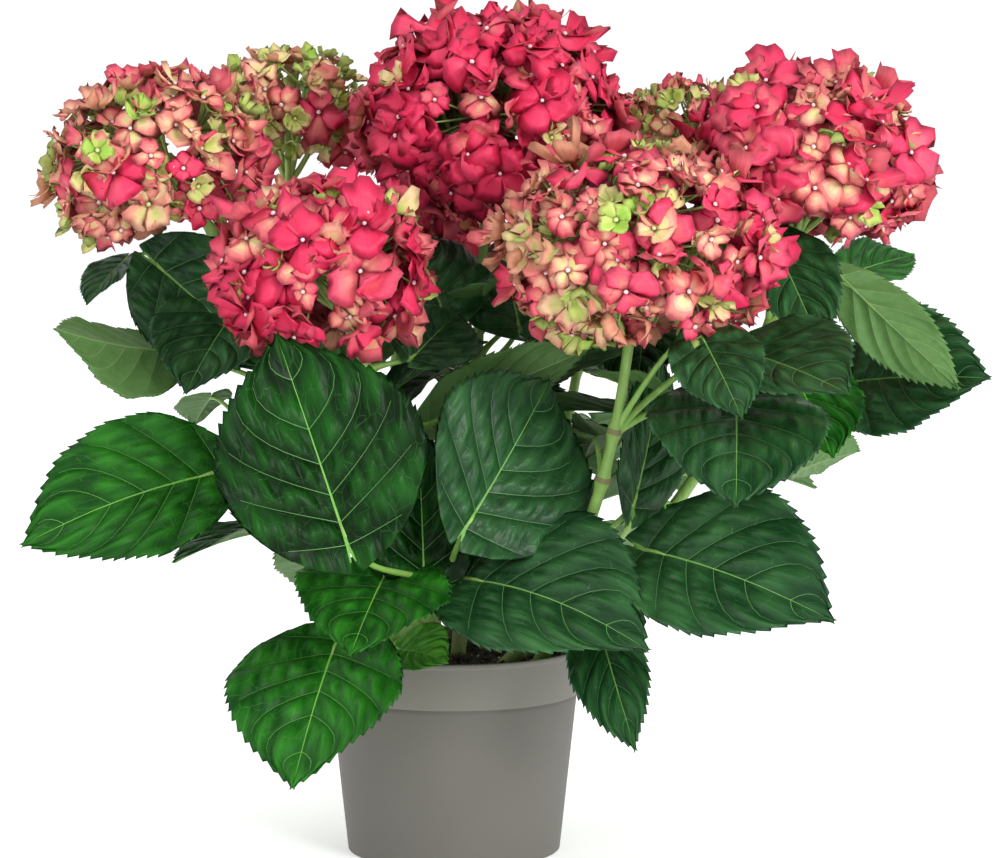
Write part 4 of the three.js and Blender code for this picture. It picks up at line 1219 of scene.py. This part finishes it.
SEPAL_TONES = {
    "bright_lime": (0.24, 0.5, 0.045),
    "lime": (0.4, 0.52, 0.1),
    "pale_lime": (0.6, 0.56, 0.2),
    "cream": (0.74, 0.52, 0.28),
    "peach": (0.76, 0.35, 0.24),
    "salmon": (0.7, 0.2, 0.17),
    "coral": (0.68, 0.12, 0.14),
    "rose": (0.67, 0.06, 0.12),
    "pink": (0.68, 0.028, 0.1),
    "crimson": (0.6, 0.014, 0.07),
    "deep_crimson": (0.48, 0.009, 0.05),
}
tone_names = list(SEPAL_TONES)
SEPAL_FINISHES = [
    sepal_finish("sepal_" + here, step, SEPAL_TONES[here], SEPAL_TONES[ahead])
    for step, (here, ahead) in enumerate(zip(tone_names, tone_names[1:]))
]
SEPAL_FINISHES += [
    dull_finish("back_green", (0.2, 0.3, 0.06), (0.4, 0.42, 0.14)),
    dull_finish("back_dusk", (0.44, 0.17, 0.1), (0.66, 0.32, 0.2)),
    dull_finish("back_rose", (0.44, 0.045, 0.075), (0.62, 0.12, 0.14)),
    dull_finish("bud_pink", (0.7, 0.42, 0.44), (0.86, 0.66, 0.66), 0.35),
    dull_finish("bud_green", (0.45, 0.5, 0.2), (0.66, 0.68, 0.36), 0.35),
]
BLOOM_GROUPS = {
    "blossom_left": ["left", "left_back"],
    "blossom_front": ["front_left", "front_right"],
    "blossom_middle": ["centre", "back_left"],
    "blossom_right": ["right", "right_back", "back_right"],
}
shoot_order = list(SHOOTS)
for group, members in BLOOM_GROUPS.items():
    parts = []
    for name in members:
        parts += flower_head(name, FIRST_HEAD_SEED + shoot_order.index(name))
    make_piece(group, parts, SEPAL_FINISHES, ["bloom_" + name for name in members])

# ---------------------------------------------------------------------------
# Studio: a pale floor, an even white sky, a broad soft light on the right and a weaker
# one on the left, and the camera in front at the plant's own height.
# ---------------------------------------------------------------------------

FLOOR_REACH = 6.0
floor_mesh = bpy.data.meshes.new("floor")
corners = [(x * FLOOR_REACH, y * FLOOR_REACH, 0) for x, y in ((-1, -1), (1, -1), (1, 1), (-1, 1))]
floor_mesh.from_pydata(corners, [], [(0, 1, 2, 3)])
floor = bpy.data.objects.new("floor", floor_mesh)
bpy.context.scene.collection.objects.link(floor)
floor_finish, floor_tree, floor_shader = new_finish("floor_white", 0.9, 0.1)
floor_shader.inputs["Base Color"].default_value = (0.95, 0.95, 0.95, 1)
floor_shader.inputs["Emission Color"].default_value = (1, 1, 1, 1)
floor_shader.inputs["Emission Strength"].default_value = 0.2
floor_mesh.materials.append(floor_finish)

world = bpy.data.worlds.new("studio_sky")
bpy.context.scene.world = world
world.use_nodes = True
world.node_tree.nodes["Background"].inputs["Color"].default_value = (1, 1, 1, 1)
world.node_tree.nodes["Background"].inputs["Strength"].default_value = 0.85


def soft_light(name, place, aim, size, power):
    """A square area light at place, turned to face aim."""
    data = bpy.data.lights.new(name, "AREA")
    data.shape = "SQUARE"
    data.size = size
    data.energy = power
    light = bpy.data.objects.new(name, data)
    bpy.context.scene.collection.objects.link(light)
    light.location = place
    toward = np.array(aim, float) - np.array(place, float)
    light.rotation_euler = (
        np.arctan2(np.hypot(*toward[:2]), -toward[2]), 0, np.arctan2(toward[1], toward[0]) - np.pi / 2
    )
    return light


soft_light("light_right", (1.3, -1.7, 1.0), (0, 0, 0.25), 0.9, 26.0)
soft_light("light_left", (-1.4, -0.6, 1.5), (0, 0, 0.25), 0.9, 5.0)

camera_data = bpy.data.cameras.new("camera")
camera_data.lens = 120.0
camera_data.sensor_width = 36.0
camera = bpy.data.objects.new("camera", camera_data)
bpy.context.scene.collection.objects.link(camera)
camera.location = (0.025, -1.79, 0.385)
camera.rotation_euler = (np.radians(85.0), 0, 0)
bpy.context.scene.camera = camera
bpy.context.scene.view_settings.view_transform = "Standard"
bpy.context.scene.view_settings.exposure = 0.35
